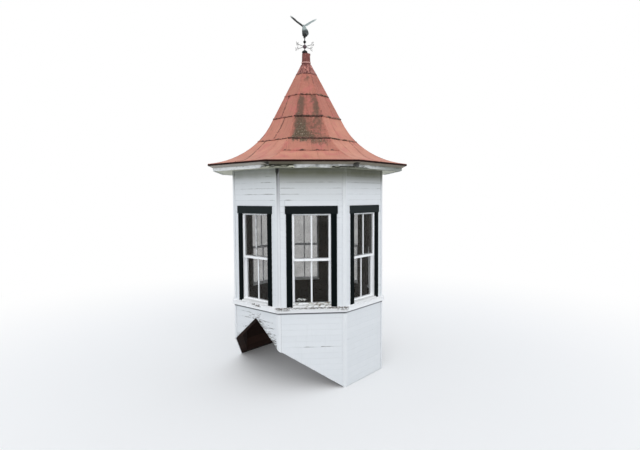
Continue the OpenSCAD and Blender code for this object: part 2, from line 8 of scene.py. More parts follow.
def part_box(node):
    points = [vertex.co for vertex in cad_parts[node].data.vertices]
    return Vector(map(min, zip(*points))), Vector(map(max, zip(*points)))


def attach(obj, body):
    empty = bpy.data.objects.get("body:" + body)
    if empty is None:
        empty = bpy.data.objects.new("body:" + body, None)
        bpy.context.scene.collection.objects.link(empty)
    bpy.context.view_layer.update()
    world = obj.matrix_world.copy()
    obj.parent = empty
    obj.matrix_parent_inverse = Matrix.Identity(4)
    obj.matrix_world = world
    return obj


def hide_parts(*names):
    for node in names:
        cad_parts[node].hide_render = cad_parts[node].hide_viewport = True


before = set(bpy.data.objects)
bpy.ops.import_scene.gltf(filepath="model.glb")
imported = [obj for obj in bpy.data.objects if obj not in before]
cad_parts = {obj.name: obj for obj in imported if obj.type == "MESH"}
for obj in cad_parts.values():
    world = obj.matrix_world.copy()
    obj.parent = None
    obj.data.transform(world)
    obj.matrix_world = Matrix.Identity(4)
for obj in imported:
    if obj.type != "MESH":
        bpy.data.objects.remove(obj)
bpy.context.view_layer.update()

# Clapboards
# Pine boards that show 107 mm, nailed course by course over the boarded walls and cut to the corner boards,
# the casings and the walls' sloping foot. Old white oil paint bridges most of the joints; some have opened.
SIDES = ["south", "southeast", "east", "northeast", "north", "northwest", "west", "southwest"]
SOUTH, WEST, SOUTHWEST = 0, 6, 7
TOWARD_SW = (-0.7071, -0.7071, 0.0)
TAN = np.tan(np.pi / 8)
EXPOSURE = 0.107
BUTT, THIN = 0.0150, 0.0118
COLUMN, CUT_COLUMN = 0.040, 0.012
LOWER_COURSES = 14
CLEAR, CORNER_GAP, WIDE_GAP = 0.001, 0.002, 0.007
ON_WALL = 0.0003
MAP_SHIFT = 3.7
wall_a = -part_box("wall_south")[0].y
board_a = -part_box("corner_boards")[0].y
belt_z, belt_top = (corner.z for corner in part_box("belt_course"))
soffit_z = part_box("soffit")[0].z
head_z, head_top = (corner.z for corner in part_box("head_casings"))
CORNER_W = 0.048
CASING_X, HEAD_X = 0.456, 0.473
FOOT_TAN = np.tan(np.radians(40.3))
ridge_z = (wall_a - 0.010) * FOOT_TAN


def on_side(i, x, a, z):
    """Points of side i: x along the side, a outwards from the axis and z up, turned by 45 degrees a side."""
    i, x, a, z = np.broadcast_arrays(i, x, a, z)
    t = np.radians(45 * i)
    return np.stack([x * np.cos(t) + a * np.sin(t), x * np.sin(t) - a * np.cos(t), z], -1)


def swell(p, size, seed, waves=14):
    """Smooth noise, mostly from -1 to 1, at the points p: the mean of plane waves about size long, each with
    a direction, a length and a phase drawn from the seed."""
    rng = np.random.default_rng(seed)
    turn = rng.normal(size=(waves, 3))
    turn /= np.linalg.norm(turn, axis=1)[:, None]
    turn *= 2 * np.pi / (size * rng.uniform(0.6, 1.6, (waves, 1)))
    return np.sin(p @ turn.T + rng.uniform(0, 2 * np.pi, waves)).mean(-1) * 2.2


def grid_quads(rows, cols, around):
    """Quads of a grid of points numbered row by row. around joins the last column to the first."""
    r, c = np.meshgrid(np.arange(rows - 1), np.arange(cols - 1 + around), indexing="ij")
    at, right = (r * cols + c).ravel(), (r * cols + (c + 1) % cols).ravel()
    return np.stack([at, right, right + cols, at + cols], 1)


def shell(front, back, around=False):
    """A closed shell between two equal grids of points: the front's quads, the back's turned round, and a
    strip along each edge. A shell that would face inwards, by the sign of its volume, is turned."""
    rows, cols = front.shape[:2]
    n = rows * cols
    quads = grid_quads(rows, cols, around)
    if around:
        edges = [np.arange(cols), n - 1 - np.arange(cols)]
    else:
        edges = [np.concatenate([
            np.arange(cols - 1), np.arange(rows - 1) * cols + cols - 1,
            n - 1 - np.arange(cols - 1), (rows - 1 - np.arange(rows - 1)) * cols
        ])]
    strips = [np.stack([np.roll(e, -1), e, e + n, np.roll(e, -1) + n], 1) for e in edges]
    faces = np.concatenate([quads, quads[:, ::-1] + n] + strips)
    points = np.concatenate([front.reshape(-1, 3), back.reshape(-1, 3)])
    a, b, c3, d = (points[faces[:, k]] - points[0] for k in range(4))
    volume = np.einsum("ij,ij->", a, np.cross(b, c3)) + np.einsum("ij,ij->", a, np.cross(c3, d))
    return points, [faces if volume > 0 else faces[:, ::-1]]


PAINTED = ("tint", "wear", "grime", "stain")


def piece(name, parts, material, body="cupola", smooth=False):
    """One mesh object of closed parts. Each is a dict with a mesh of points and faces or with a front and a
    back grid, flat map coordinates uv, and the painted numbers tint, wear, grime and stain if it has them.
    Tint and wear also carry painted highlight, and grime carries painted shade as well as dirt."""
    points, faces, uv, start = [], [], [], 0
    numbers = {key: [] for key in PAINTED}
    for part in parts:
        if "mesh" in part:
            p, blocks = part["mesh"]
            grid = len(p)
        else:
            p, blocks = shell(part["front"], part["back"], part.get("around", False))
            grid = part["front"].shape[:2]
        uv.append(np.resize(np.reshape(part.get("uv", (0.0, 0.0)), (-1, 2)), (len(p), 2)))
        for key, column in numbers.items():
            column.append(np.resize(np.broadcast_to(part.get(key, 0.0), grid), len(p)))
        points.append(p)
        for block in blocks:
            faces += (block + start).tolist()
        start += len(p)
    mesh = bpy.data.meshes.new(name)
    mesh.from_pydata(np.concatenate(points).tolist(), [], faces)
    corner = np.zeros(len(mesh.loops), int)
    mesh.loops.foreach_get("vertex_index", corner)
    layer = mesh.uv_layers.new(name="place")
    layer.data.foreach_set("uv", np.concatenate(uv)[corner].astype(np.float32).ravel())
    for key, column in numbers.items():
        values = mesh.attributes.new(key, "FLOAT", "POINT")
        values.data.foreach_set("value", np.concatenate(column).astype(np.float32))
    mesh.polygons.foreach_set("use_smooth", np.full(len(mesh.polygons), smooth))
    if smooth:
        mesh.set_sharp_from_angle(angle=np.radians(35))
    mesh.materials.append(material)
    mesh.update()
    made = bpy.data.objects.new(name, mesh)
    bpy.context.scene.collection.objects.link(made)
    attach(made, body)
    return made


def srgb(code):
    """The linear colour of an sRGB hex value."""
    c = np.array([int(code[k:k + 2], 16) for k in (1, 3, 5)]) / 255
    return (*np.where(c <= 0.04045, c / 12.92, ((c + 0.055) / 1.055) ** 2.4).tolist(), 1.0)


# The shader nodes of the materials by what each gives: its type, the output that is used and its settings
NODES = {
    "place": ("TexCoord", "Object", {}), "map": ("TexCoord", "UV", {}),
    "x": ("SeparateXYZ", "X", {}), "y": ("SeparateXYZ", "Y", {}), "height": ("SeparateXYZ", "Z", {}),
    "noise": ("TexNoise", 0, {}), "bump": ("Bump", 0, {}), "mix": ("Mix", 2, {"data_type": "RGBA"}),
    "rise": ("MapRange", 0, {"interpolation_type": "SMOOTHSTEP"}),
    **{key: ("Attribute", "Fac", {"attribute_name": key}) for key in PAINTED},
    **{word: ("Math", 0, {"operation": operation}) for word, operation in (
        ("sum", "ADD"), ("less", "SUBTRACT"), ("times", "MULTIPLY"), ("over", "DIVIDE"), ("most", "MAXIMUM"),
        ("whole", "FLOOR"), ("rest", "FRACT")
    )},
    **{word: ("VectorMath", output, {"operation": operation}) for word, output, operation in (
        ("along", 1, "DOT_PRODUCT"), ("distance", 1, "DISTANCE"), ("length", 1, "LENGTH"),
        ("scaled", 0, "MULTIPLY"), ("stretched", 0, "DIVIDE"), ("mirrored", 0, "ABSOLUTE")
    )},
}


def add(tree, word, *inputs):
    """Adds the shader node of this word and returns its output. The inputs follow the node's sockets: another
    node's socket is linked, a number or an sRGB hex value is set, and None leaves the socket as it is. Inputs
    past the last socket go, after the output, into one more such node, for a longer sum or product."""
    kind, output, settings = NODES[word]
    made = tree.nodes.new("ShaderNode" + kind)
    for name, value in settings.items():
        setattr(made, name, value)
    sockets = [socket for socket in made.inputs if socket.enabled]
    for socket, value in zip(sockets, inputs):
        if isinstance(value, bpy.types.NodeSocket):
            tree.links.new(value, socket)
        elif value is not None:
            socket.default_value = srgb(value) if isinstance(value, str) else value
    result = made.outputs[output] if made.outputs else None
    more = inputs[len(sockets):]
    return add(tree, word, result, *more) if more else result


def surface(name, build, **fixed):
    """A material: build(add) returns the linked sockets of its shader, and fixed are the set ones."""
    made = bpy.data.materials.new(name)
    made.use_nodes = True
    tree = made.node_tree
    shader = tree.nodes["Principled BSDF"]
    for key, value in fixed.items():
        shader.inputs[key.replace("_", " ")].default_value = value
    for key, socket in build(partial(add, tree)).items():
        tree.links.new(socket, shader.inputs[key])
    return made


def layered(add, paint, *layers):
    """Paint under layers of other colours. Each layer is a value, the two values between which it comes in
    smoothly, its greatest share and its colour."""
    for value, low, high, most, colour in layers:
        paint = add("mix", add("rise", value, low, high, 0.0, most), paint, colour)
    return paint


def band(add, value, low, full, last, high):
    """1 where the value is between full and last, falling smoothly to 0 at low and high."""
    return add("times", add("rise", value, low, full), add("rise", value, high, last))


def painted_pine(name, coat, bare, flake, gloss, grain=(9, 9, 1), mapped=False, worn=None, marks=None):
    """Oil paint on weathered pine. Broad and fine noise, plus the painted number wear, lift the paint off in
    flakes 10 to 100 mm long that follow the grain; the wood below is grey, and its grain is drawn 9 mm wide
    to show. The number grime greys the paint, as dirt and as painted shade. worn is a direction, a distance
    that way from which the paint is worst, and how much worse. marks returns the paint with what has run or
    grown on it, and with painted shade."""
    def build(add):
        place, solid = add("map" if mapped else "place"), add("place")
        grained = add("stretched", place, grain)
        broad, spots = add("noise", place, 1 / 0.55, 3, 0.55), add("noise", grained, 1 / 0.011, 5, 0.65)
        lifted = add("sum", spots, add("times", broad, 0.45), add("times", add("wear"), 0.32))
        if worn:
            way, worst, more = worn
            lifted = add("sum", lifted, add("rise", add("along", solid, way), worst - 0.05, worst, 0.0, more))
        off = add("rise", lifted, 1.03 - flake, 1.06 - flake)
        near = add("rise", lifted, 0.95 - flake, 1.04 - flake)
        lines = add("noise", grained, 1 / 0.009, 3, 0.6)
        rain = add("noise", add("stretched", solid, (1, 1, 14)), 1 / 0.035, 4, 0.6)
        patchy = add("noise", add("stretched", place, (4, 4, 1)), 1 / 0.05, 4, 0.6)
        chalk = add("mix", add("noise", place, 1 / 0.16, 5, 0.6), coat[0], coat[1])
        chalk = add("mix", add("times", add("tint"), 0.5), chalk, coat[1])
        chalk = layered(add, chalk, (rain, 0.55, 0.85, 0.25, coat[2]))
        chalk = add("mix", add("times", near, 0.35), chalk, coat[2])
        dirt = add("times", add("grime"), add("rise", patchy, 0.35, 0.65, 0.25, 1.0))
        chalk = add("mix", dirt, chalk, "#7f817f")
        if marks:
            chalk = marks(add, chalk)
        brush = add("sum", add("less", 1.0, off), add("times", lines, 0.35))
        return {
            "Base Color": add("mix", off, chalk, add("mix", lines, *bare)),
            "Roughness": add("rise", off, 0, 1, 0.55, 0.9),
            "Normal": add("bump", 0.6, 0.0012, None, brush),
        }
    return surface(name, build, Specular_IOR_Level=gloss)


def eave_mildew(add, paint):
    """Painted shade under the eave on the walls below the soffit: grey, and above it olive, which is mildew
    as well as painted shade. It reaches lowest on the southwest side and is thinnest on the west side. A
    painted shadow lies in a dark line under the belt."""
    place = add("place")
    height = add("height", place)
    west = add("rise", add("x", place), -1.446, -1.462)
    southwest = add("rise", add("along", place, TOWARD_SW), 1.448, 1.462)
    patchy = add("rise", add("noise", place, 1 / 0.35, 3, 0.55), 0.3, 0.7, 0.80, 1.0)
    under_eave = add("rise", height, 3.62, 3.86)
    # Grey painted shade under the eave, reaching down furthest on the southwest side
    low_film = add("sum", add("times", add("rise", height, 3.25, 3.66), 0.24), add("times", under_eave, 0.66))
    south_film = add("times", under_eave, add("rise", add("y", place), -1.446, -1.462, 0, 0.80))
    film = add("times", add("rise", height, 3.50, 3.88), add("rise", west, 0, 1, 0.45, 0.25))
    film = add("most", film, add("times", low_film, southwest), south_film)
    # Olive below the soffit: mildew, and painted shade under the eave
    olive = add(
        "times", add("rise", height, 3.76, 3.97), patchy, add("rise", west, 0, 1, 0.92, 0.74),
        add("rise", height, 3.915, 3.960, 1.0, 0.78)
    )
    paint = add("mix", olive, add("mix", film, paint, "#969894"), "#5f6043")
    # A painted shadow in a dark line under the belt
    under_belt = band(add, height, belt_z - 0.044, belt_z - 0.016, belt_z, belt_z + 0.004)
    return add("mix", under_belt, paint, "#484b50")


GREY_PINE = ("#76746e", "#3a3936")
clapboard_paint = painted_pine(
    "flaking oil paint on clapboards", ("#e6e9ec", "#dde1e4", "#c2c5c6"), GREY_PINE, -0.02, 0.3, (9, 1, 1),
    mapped=True, marks=eave_mildew
)
# Joints that have opened, by side: height of the boards' foot, from and to along the side, width
OPENED = {
    SOUTHWEST: [
        (3.754, -0.470, 0.100, 0.0026), (3.754, 0.110, 0.230, 0.0046), (3.754, 0.280, 0.560, 0.0024),
        (3.647, -0.573, -0.280, 0.0028), (3.647, 0.280, 0.550, 0.0022), (3.540, -0.573, -0.220, 0.0028),
        (3.433, -0.469, -0.330, 0.0040), (0.765, -0.500, -0.160, 0.0014), (0.765, -0.165, 0.065, 0.0075),
        (0.765, 0.135, 0.395, 0.0075), (0.765, 0.400, 0.560, 0.0028)
    ],
    WEST: [
        (3.861, 0.300, 0.430, 0.0032), (3.754, 0.160, 0.570, 0.0026), (3.647, -0.400, 0.550, 0.0015),
        (3.540, -0.300, 0.200, 0.0014), (3.540, 0.180, 0.570, 0.0034), (1.300, -0.420, -0.100, 0.0040),
        (1.193, -0.400, -0.110, 0.0055), (1.193, 0.180, 0.480, 0.0075), (1.086, 0.240, 0.520, 0.0080),
        (0.979, 0.300, 0.550, 0.0080), (0.872, 0.380, 0.570, 0.0060)
    ],
    SOUTH: [(3.754, -0.550, 0.560, 0.0018), (3.647, 0.400, 0.560, 0.0024)],
}


def wall_foot(i, x, a):
    """Height of the walls' sloping foot at the point x along side i, a out from the axis."""
    return np.maximum(ridge_z - np.abs(on_side(i, x, a, 0.0)[..., 1]) * FOOT_TAN, 0.0)


def flaking(i, x, z):
    """How worn the paint is along the walls' foot: most of all on the west side, down its southern slope."""
    above = np.maximum(z - wall_foot(i, x, wall_a), 0)
    most = 0.68 + 0.42 * np.clip(x / 0.10, 0, 1) if i == WEST else 0.0
    return most * np.exp(-(above / 0.33) ** 2) * (z < belt_z)


def opened(i, x, z):
    """Gap in metres under a board's foot. It is widest in the joints listed as opened, where noise along the
    board breaks it up, and a hair elsewhere."""
    p = on_side(i, x, wall_a, 4.0 * z)
    gap = 0.0022 * np.clip((swell(p, 0.42, 300 + i) - 0.85) / 0.30, 0, 1)
    for foot, x0, x1, width in OPENED.get(i, []):
        if abs(foot - z) < 0.003:
            ends = np.clip((x - x0) / 0.04, 0, 1) * np.clip((x1 - x) / 0.04, 0, 1)
            gap = np.maximum(gap, width * ends * np.clip(0.75 + 0.8 * swell(p, 0.11, 9), 0, 1.3))
    return (0.0003 if z > head_z else 0.0001) + gap


def course(i, x, z0, low, high, tone):
    """One board: its front at the foot, 3 and 14 mm above it, and at the top of each column x, on a face that
    thins evenly with height above z0, and its back flat on the wall. Its foot is darkened by dirt and by
    painted shade along the joint, most where the joint has opened, and dirt lies all over the board below
    the soffit on the south side."""
    gap = opened(i, x, z0) * (np.abs(low - z0) < 1e-6)
    low = np.minimum(low + gap, high - 0.0035)
    ends = np.stack([low, low + 0.003, np.minimum(low + 0.014, high - 0.0003), high])
    thick = BUTT + (THIN - BUTT) * (ends - z0) / EXPOSURE
    thick[0] -= 0.0015
    span = np.broadcast_to(x, ends.shape)
    most = 0.40 if z0 > head_z else 0.2 if z0 > belt_z else 0.06
    dirt = most * (0.25 + 0.8 * swell(on_side(i, x, wall_a, 3 * z0), 0.3, 21))
    # Dirt and painted shade along the board's foot, darker where the joint has opened
    dirt = np.array([[1.0, 0.8, 0.0, 0.0]]).T * (dirt + np.clip(gap / 0.0032 - 0.1, 0, 1))
    dirt = dirt + 0.9 * (i == SOUTH) * (z0 > 3.85)
    return {
        "front": on_side(i, span, wall_a + thick, ends), "back": on_side(i, span, wall_a + ON_WALL, ends),
        "uv": np.stack([span + MAP_SHIFT * i, ends + 9 * tone], -1),
        "tint": tone, "wear": flaking(i, span, ends), "grime": np.clip(dirt, 0, 1),
    }


def runs(keep):
    """First and last place of each stretch of True values."""
    cuts = np.flatnonzero(np.diff(np.concatenate([[0], keep.astype(int), [0]])))
    return zip(cuts[::2], cuts[1::2] - 1)


feet = [belt_z - (k + 1) * EXPOSURE for k in range(LOWER_COURSES)]
feet += list(np.arange(belt_top, soffit_z - 0.01, EXPOSURE))
end = board_a * TAN - CORNER_W
for i, side in enumerate(SIDES):
    rng = np.random.default_rng(40 + i)
    left = (WIDE_GAP if i == WEST else CORNER_GAP) - end
    right = end - (WIDE_GAP if i == SOUTH else CORNER_GAP)
    boards = []
    for z0 in feet:
        top = min(z0 + EXPOSURE - 0.0004, soffit_z - CLEAR)
        cut = z0 < belt_z and wall_foot(i, np.linspace(-end, end, 9), wall_a).max() > z0
        inner = 0.0 if z0 < belt_z else CASING_X if z0 < head_z else HEAD_X if z0 < head_top else 0.0
        for x0, x1 in [(left, -inner - CLEAR), (inner + CLEAR, right)] if inner else [(left, right)]:
            x = np.linspace(x0, x1, int((x1 - x0) / (CUT_COLUMN if cut else COLUMN)) + 2)
            if z0 < head_z < top and inner:
                x = np.sort(np.append(x, np.sign(x0 + x1) * (HEAD_X + np.array([0.0005, 0.0010]))))
            low = np.maximum(z0, wall_foot(i, x, wall_a) + CORNER_GAP) if cut else np.full(len(x), z0)
            notched = (z0 < head_z < top) & (np.abs(x) < HEAD_X + 0.0007) & (z0 > belt_z)
            high = np.where(notched, head_z - CLEAR, top)
            for first, last in runs(high - low > 0.004):
                if last > first:
                    part = slice(first, last + 1)
                    boards.append(course(i, x[part], z0, low[part], high[part], rng.uniform(0, 1)))
        if z0 < head_top < top:
            x = np.linspace(CLEAR - HEAD_X, HEAD_X - CLEAR, 24)
            low, high = np.full(24, head_top + CLEAR), np.full(24, top)
            boards.append(course(i, x, z0, low, high, rng.uniform(0, 1)))
    piece("clapboards_" + side, boards, clapboard_paint)

# Walls behind the clapboards
# Studs boarded inside and out with rough spruce. The brown boards, 180 mm wide, show inside, through the
# windows and from below, and outside as a dark line where a joint between two clapboards has opened.
BOARD_W = 0.180
NODES["hue"] = ("TexWhiteNoise", 0, {"noise_dimensions": "1D"})


def rough_boards(add):
    """Saw-rough boards, each of its own brown, with dark joints between them and no shine. The browns are
    kept dark, which also paints the shade of the dim inside.
    """
    place = add("place")
    at = add("over", add("height", place), BOARD_W)
    boards = band(add, add("rest", at), 0.0, 0.035, 0.965, 1.0)
    # Dark browns: the boards' own colour, kept dark also as painted shade for the dim inside
    wood = add("mix", add("hue", add("whole", at)), "#4a3129", "#33211c")
    wood = add("mix", add("noise", add("stretched", place, (30, 30, 1)), 1 / 0.006, 4, 0.6), wood, "#1c1410")
    return {
        "Base Color": add("mix", boards, "#0d0a08", wood),
        "Normal": add("bump", 0.8, 0.004, None, boards),
    }


def dress(material, *nodes):
    """Gives CAD nodes a material."""
    for node in nodes:
        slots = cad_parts[node].data.materials
        slots.clear()
        slots.append(material)


inner_boards = surface("rough sawn spruce boards", rough_boards, Roughness=0.9, Specular_IOR_Level=0.2)
dress(inner_boards, *["wall_" + side for side in SIDES], "wall_plate", "hip_rafters", "mast_block")

# Corner boards and belt course
# Pine boards 48 mm wide that meet on the mitre at each corner, and the moulded belt under the windows. The
# mitre between the west and southwest sides has rotted open below the soffit.
OPEN_MITRE = (-board_a, -board_a * TAN, 0.0)
SHADED = (-board_a + 0.015, -board_a * TAN - 0.015, 0.0)
SPOTTED = [
    on_side(i, x, board_a + 0.04, belt_top - 0.03).tolist()
    for i, x in ((WEST, 0.06), (SOUTHWEST, -0.52), (SOUTHWEST, 0.56))
]
TRIM_WHITE = ("#f8f9fa", "#f0f2f4", "#cfd1d2")


def open_mitre(add, paint):
    """The rotten mitre: black under the soffit, grey for half a metre below and a faint line from there on,
    with painted shade in grey-lavender on the southwest corner board beside it."""
    place = add("place")
    height, flat = add("height", place), add("scaled", place, (1, 1, 0))
    ragged = add("times", add("noise", place, 1 / 0.03, 4, 0.55), 0.014)
    hole = add("times", add("rise", height, 3.88, 3.95), -0.022)
    away = add("sum", add("distance", flat, OPEN_MITRE), ragged, hole)
    deep = add(
        "sum", 0.10, add("rise", height, 3.40, 3.75, 0, 0.30), add("rise", height, 3.80, 3.90, 0, 0.60)
    )
    line = add("times", add("rise", away, 0.028, 0.010), deep, add("rise", height, 1.4, 1.6))
    # Painted shade in grey-lavender on the southwest corner board beside the mitre
    run = add(
        "times", add("rise", add("distance", flat, SHADED), 0.034, 0.020),
        add("rise", height, 2.9, 3.75, 0.10, 0.55), add("rise", height, 1.5, 1.7)
    )
    return add("mix", line, add("mix", run, eave_mildew(add, paint), "#8b8a93"), "#1d1e1b")


def belt_spots(add, paint):
    """Ragged dark spots where the paint has cracked along the belt's upper edge: clusters at the middle of
    the west side and at both ends of the southwest side, and a thin broken line between the last two."""
    place = add("place")
    height, toward = add("height", place), add("along", place, TOWARD_SW)
    clusters = add("most", 0.10, *[add("rise", add("distance", place, spot), 0.17, 0.05) for spot in SPOTTED])
    edge = add("times", add("rise", height, belt_top - 0.080, belt_top - 0.030), clusters)
    line = add(
        "times", add("rise", height, belt_top - 0.042, belt_top - 0.016),
        add("rise", toward, 1.44, 1.49, 0.15, 0.95)
    )
    spots = add("noise", add("stretched", place, (2, 2, 1)), 1 / 0.020, 5, 0.7)
    dark = add(
        "times", add("rise", height, belt_top + 0.002, belt_top - 0.004), add("rise", spots, 0.39, 0.54),
        add("most", edge, line)
    )
    return add("mix", dark, layered(add, paint, (toward, 1.44, 1.49, 0.22, "#8f9090")), "#5c5750")


dress(painted_pine(
    "flaking oil paint on corner boards", ("#e9ecee", "#e1e4e7", "#c2c5c7"), GREY_PINE, -0.05, 0.3, (1, 1, 9),
    marks=open_mitre
), "corner_boards")
dress(painted_pine(
    "worn oil paint on the belt", TRIM_WHITE, GREY_PINE, 0.0, 0.3, marks=belt_spots
), "belt_course")

# Casings
# Flat boards 106 mm wide round each window, in black-green gloss paint gone dull, a little greyer on the
# heads, where the weather lies.


def unbleached(add, paint):
    """The southwest head casing has kept its black."""
    return layered(add, paint, (add("along", add("place"), TOWARD_SW), 1.460, 1.470, 0.8, "#080e10"))


dress(painted_pine(
    "dull black paint on casings", ("#080e0f", "#0b1213", "#161c1d"), ("#2a2a27", "#171715"), -0.08, 0.02,
    (1, 1, 9)
), "side_casings")
dress(painted_pine(
    "dull black paint on heads", ("#151d1e", "#1b2324", "#2a3132"), ("#383833", "#20201d"), -0.06, 0.10,
    marks=unbleached
), "head_casings")

# Window frames, sills and sashes
# Jambs, stops and two sashes a window in white paint. The sill on the southwest side is cracked and weathered
# to bare wood; the others have only lost their gloss.
SASH_WHITE = ("#fbfcfd", "#f4f6f8", "#d3d5d6")


def bare_inside(add, paint):
    """The jambs from the sashes inwards were never painted and are dark brown, which also paints the shade
    inside the windows.
    """
    quarter = add("mirrored", add("place"))
    x, y = add("x", quarter), add("y", quarter)
    out = add("most", x, y, add("times", add("sum", x, y), 0.7071))
    # Dark brown inside the windows: bare wood, and painted shade
    return layered(add, paint, (out, 1.392, 1.384, 1.0, "#3b2b23"))


sash_paint = painted_pine("flaking oil paint on sashes", SASH_WHITE, GREY_PINE, -0.05, 0.3, (1, 1, 9))
dress(sash_paint, "upper_sashes")
dress(painted_pine(
    "oil paint on window frames", SASH_WHITE, GREY_PINE, -0.05, 0.3, (1, 1, 9), marks=bare_inside
), "window_frames")
dress(painted_pine(
    "cracked oil paint on lower sashes", SASH_WHITE, ("#aaa294", "#6a6256"), -0.05, 0.3, (5, 5, 1),
    worn=((-0.7071, -0.7071, -2.0), -1.755, 0.34)
), "lower_sashes")
dress(painted_pine(
    "worn oil paint on sills", ("#f2f3f3", "#e8e9e9", "#c3c0b8"), ("#a49c8f", "#5b544a"), -0.02, 0.3,
    (5, 5, 1), worn=(TOWARD_SW, 1.40, 0.27)
), "window_sills")

# Glazing bars
# One upright bar in each sash, 30 mm wide, moulded inside and rebated outside, where putty holds the two
# panes to it.
BAR_W, BAR_PUTTY = 0.030, 0.012
SASH_DEPTHS = (0.0123, 0.0599)
SILL_TOP, HEAD = 1.541, 3.190
RAIL_TOP, RAIL_MEET, RAIL_FOOT = 0.028, 0.025, 0.034
meeting_z = 0.5 * (SILL_TOP + HEAD)


def bar(i, depth, low, high):
    """A bar of side i from z low to high: its section, as half widths at depths, carried up the sash. It
    stands on both sides of the pane, 10 to 14 mm behind the sash's face."""
    depths = np.array([0.003, 0.0095, 0.0145, 0.022, 0.033])
    half = np.array([0.5 * BAR_PUTTY, 0.5 * BAR_W, 0.5 * BAR_W, 0.45 * BAR_W, 0.22 * BAR_W])
    z = np.array([[low], [high]])
    left, right = (on_side(i, np.tile(s * half, (2, 1)), wall_a - depth - depths[None], z) for s in (-1, 1))
    return {"front": left, "back": right}


bars = []
for i in range(8):
    upper = bar(i, SASH_DEPTHS[0], meeting_z + RAIL_MEET, HEAD - 0.0015 - RAIL_TOP)
    # The west side's upper bar is greyed as painted shade
    bars.append({**upper, "grime": 0.75 * (i == WEST)})
    bars.append(bar(i, SASH_DEPTHS[1], SILL_TOP + RAIL_FOOT, meeting_z - RAIL_MEET))
piece("glazing_bars", bars, sash_paint)

# Window panes
# Old drawn glass, 4 mm, dulled by dust and cobwebs inside, with flakes of old putty in the lower corner
# of the southwest window.
LYING = (1, 1, 4)
FLAKES = (on_side(SOUTHWEST, -0.205, wall_a - 0.07, 1.625) * LYING).tolist()


def dusty_glass(add):
    """Near black glass that mirrors sharply and waves a little. Dust and the white flakes make it solid. Its
    dark tone also paints the shade of the dim inside seen through it.
    """
    place = add("place")
    fine = add("times", add("noise", place, 1 / 0.02, 4, 0.55), 0.4)
    dust = add("sum", add("noise", place, 1 / 0.25, 4, 0.55), fine)
    away = add("distance", add("scaled", place, LYING), FLAKES)
    ragged = add("noise", add("stretched", place, (1, 1, 0.4)), 1 / 0.035, 4, 0.7)
    flakes = add("times", add("rise", away, 0.145, 0.085), add("rise", ragged, 0.47, 0.58))
    return {
        "Base Color": add("mix", flakes, "#17180f", "#dfe1dd"),
        # Near black and partly solid: dust, and painted shade of the dim inside
        "Alpha": add("most", add("rise", dust, 0.45, 1.05, 0.20, 0.32), flakes),
        "Roughness": add("rise", flakes, 0, 1, 0.05, 0.8),
        "Normal": add("bump", 0.15, 0.001, None, add("noise", place, 1 / 0.12, 1, 0.55)),
    }


dress(surface("dusty drawn glass", dusty_glass, IOR=1.5), "window_panes")

# Cornice
# A level soffit, a fascia whose lower 60 mm show, and a coved crown moulding below the roof's edge, all once
# white. The crown's grey is painted shade under the roof's edge, and the fascia is greyed towards its top
# and on its south side by painted shade and by dirt and mildew. The fascia's paint peels, its foot has
# splintered at the corners, and its west end on the southwest side has fallen away from the rotten backing.
CROWN_NOTCH = on_side(SOUTHWEST, -1.86 * TAN, 1.86, 4.080).tolist()
SOUTH_NOTCH = on_side(SOUTHWEST, 1.84 * TAN, 1.84, 4.020).tolist()


def damp(add, paint):
    """Mildew on the soffit's south side."""
    return layered(add, paint, (add("y", add("place")), -1.50, -1.62, 0.75, "#5f6152"))


def notches(add, paint):
    """The two mitres of the southwest side, rotted to black notches."""
    place = add("place")
    ragged = add("times", add("noise", place, 1 / 0.025, 4, 0.55), 0.05)
    return layered(add, paint, *[
        (add("sum", add("distance", place, notch), ragged), reach, reach - 0.02, 0.9, "#1b1a14")
        for notch, reach in ((CROWN_NOTCH, 0.078), (SOUTH_NOTCH, 0.112))
    ])


def crown_marks(add, paint):
    """The crown's painted shade is lighter on the west side. On the southwest side it is stained olive for
    half a metre from its western notch."""
    place = add("place")
    stained = add(
        "times", add("rise", add("along", place, TOWARD_SW), 1.80, 1.84),
        add("rise", add("distance", place, CROWN_NOTCH), 0.70, 0.40, 0.0, 0.65)
    )
    paint = layered(add, paint, (add("x", place), -1.82, -1.845, 1.0, "#bdb6ab"))
    return notches(add, add("mix", stained, paint, "#55523d"))


def fascia_marks(add, paint):
    """Mildew and painted shade on the fascia's south side, more towards the east end, and the rotten mitres.
    """
    place = add("place")
    south = add("rise", add("y", place), -1.79, -1.81)
    green = add("times", south, add("rise", add("x", place), -0.50, 0.45, 0.15, 0.72))
    return notches(add, add("mix", green, paint, "#565e50"))


def black_rot(add, paint):
    """The backing is black where it has rotted through."""
    return add("mix", add("grime"), paint, "#15150f")


dress(painted_pine(
    "damp oil paint on the soffit", ("#eaead4", "#dcdcc7", "#adae9b"), GREY_PINE, 0.0, 0.25, marks=damp
), "soffit")
# The crown's grey colours are painted shade under the roof's edge
dress(painted_pine(
    "grey oil paint on the crown", ("#a19787", "#908676", "#6f685a"), ("#59584f", "#3a3a33"), 0.05, 0.25,
    marks=crown_marks
), "crown_moulding")
fascia_paint = painted_pine(
    "peeling oil paint on the fascia", ("#eceeed", "#dfe2e1", "#b4b6b2"), ("#63635a", "#2a2b24"), 0.05, 0.25,
    (9, 1, 1), mapped=True, marks=fascia_marks
)
rotten_pine = painted_pine(
    "rotten pine backing", ("#747565", "#5e5f50", "#3f4035"), ("#54554a", "#2a2b23"), 0.22, 0.1, (12, 1, 1),
    mapped=True, marks=black_rot
)
FASCIA_A, FASCIA_T = 1.825, 0.020
FASCIA_FOOT, FASCIA_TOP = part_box("fascia")[0].z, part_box("fascia")[1].z - 0.012
FASCIA_LOST = 0.420
fascia_half = FASCIA_A * TAN
lost_end = FASCIA_LOST - fascia_half
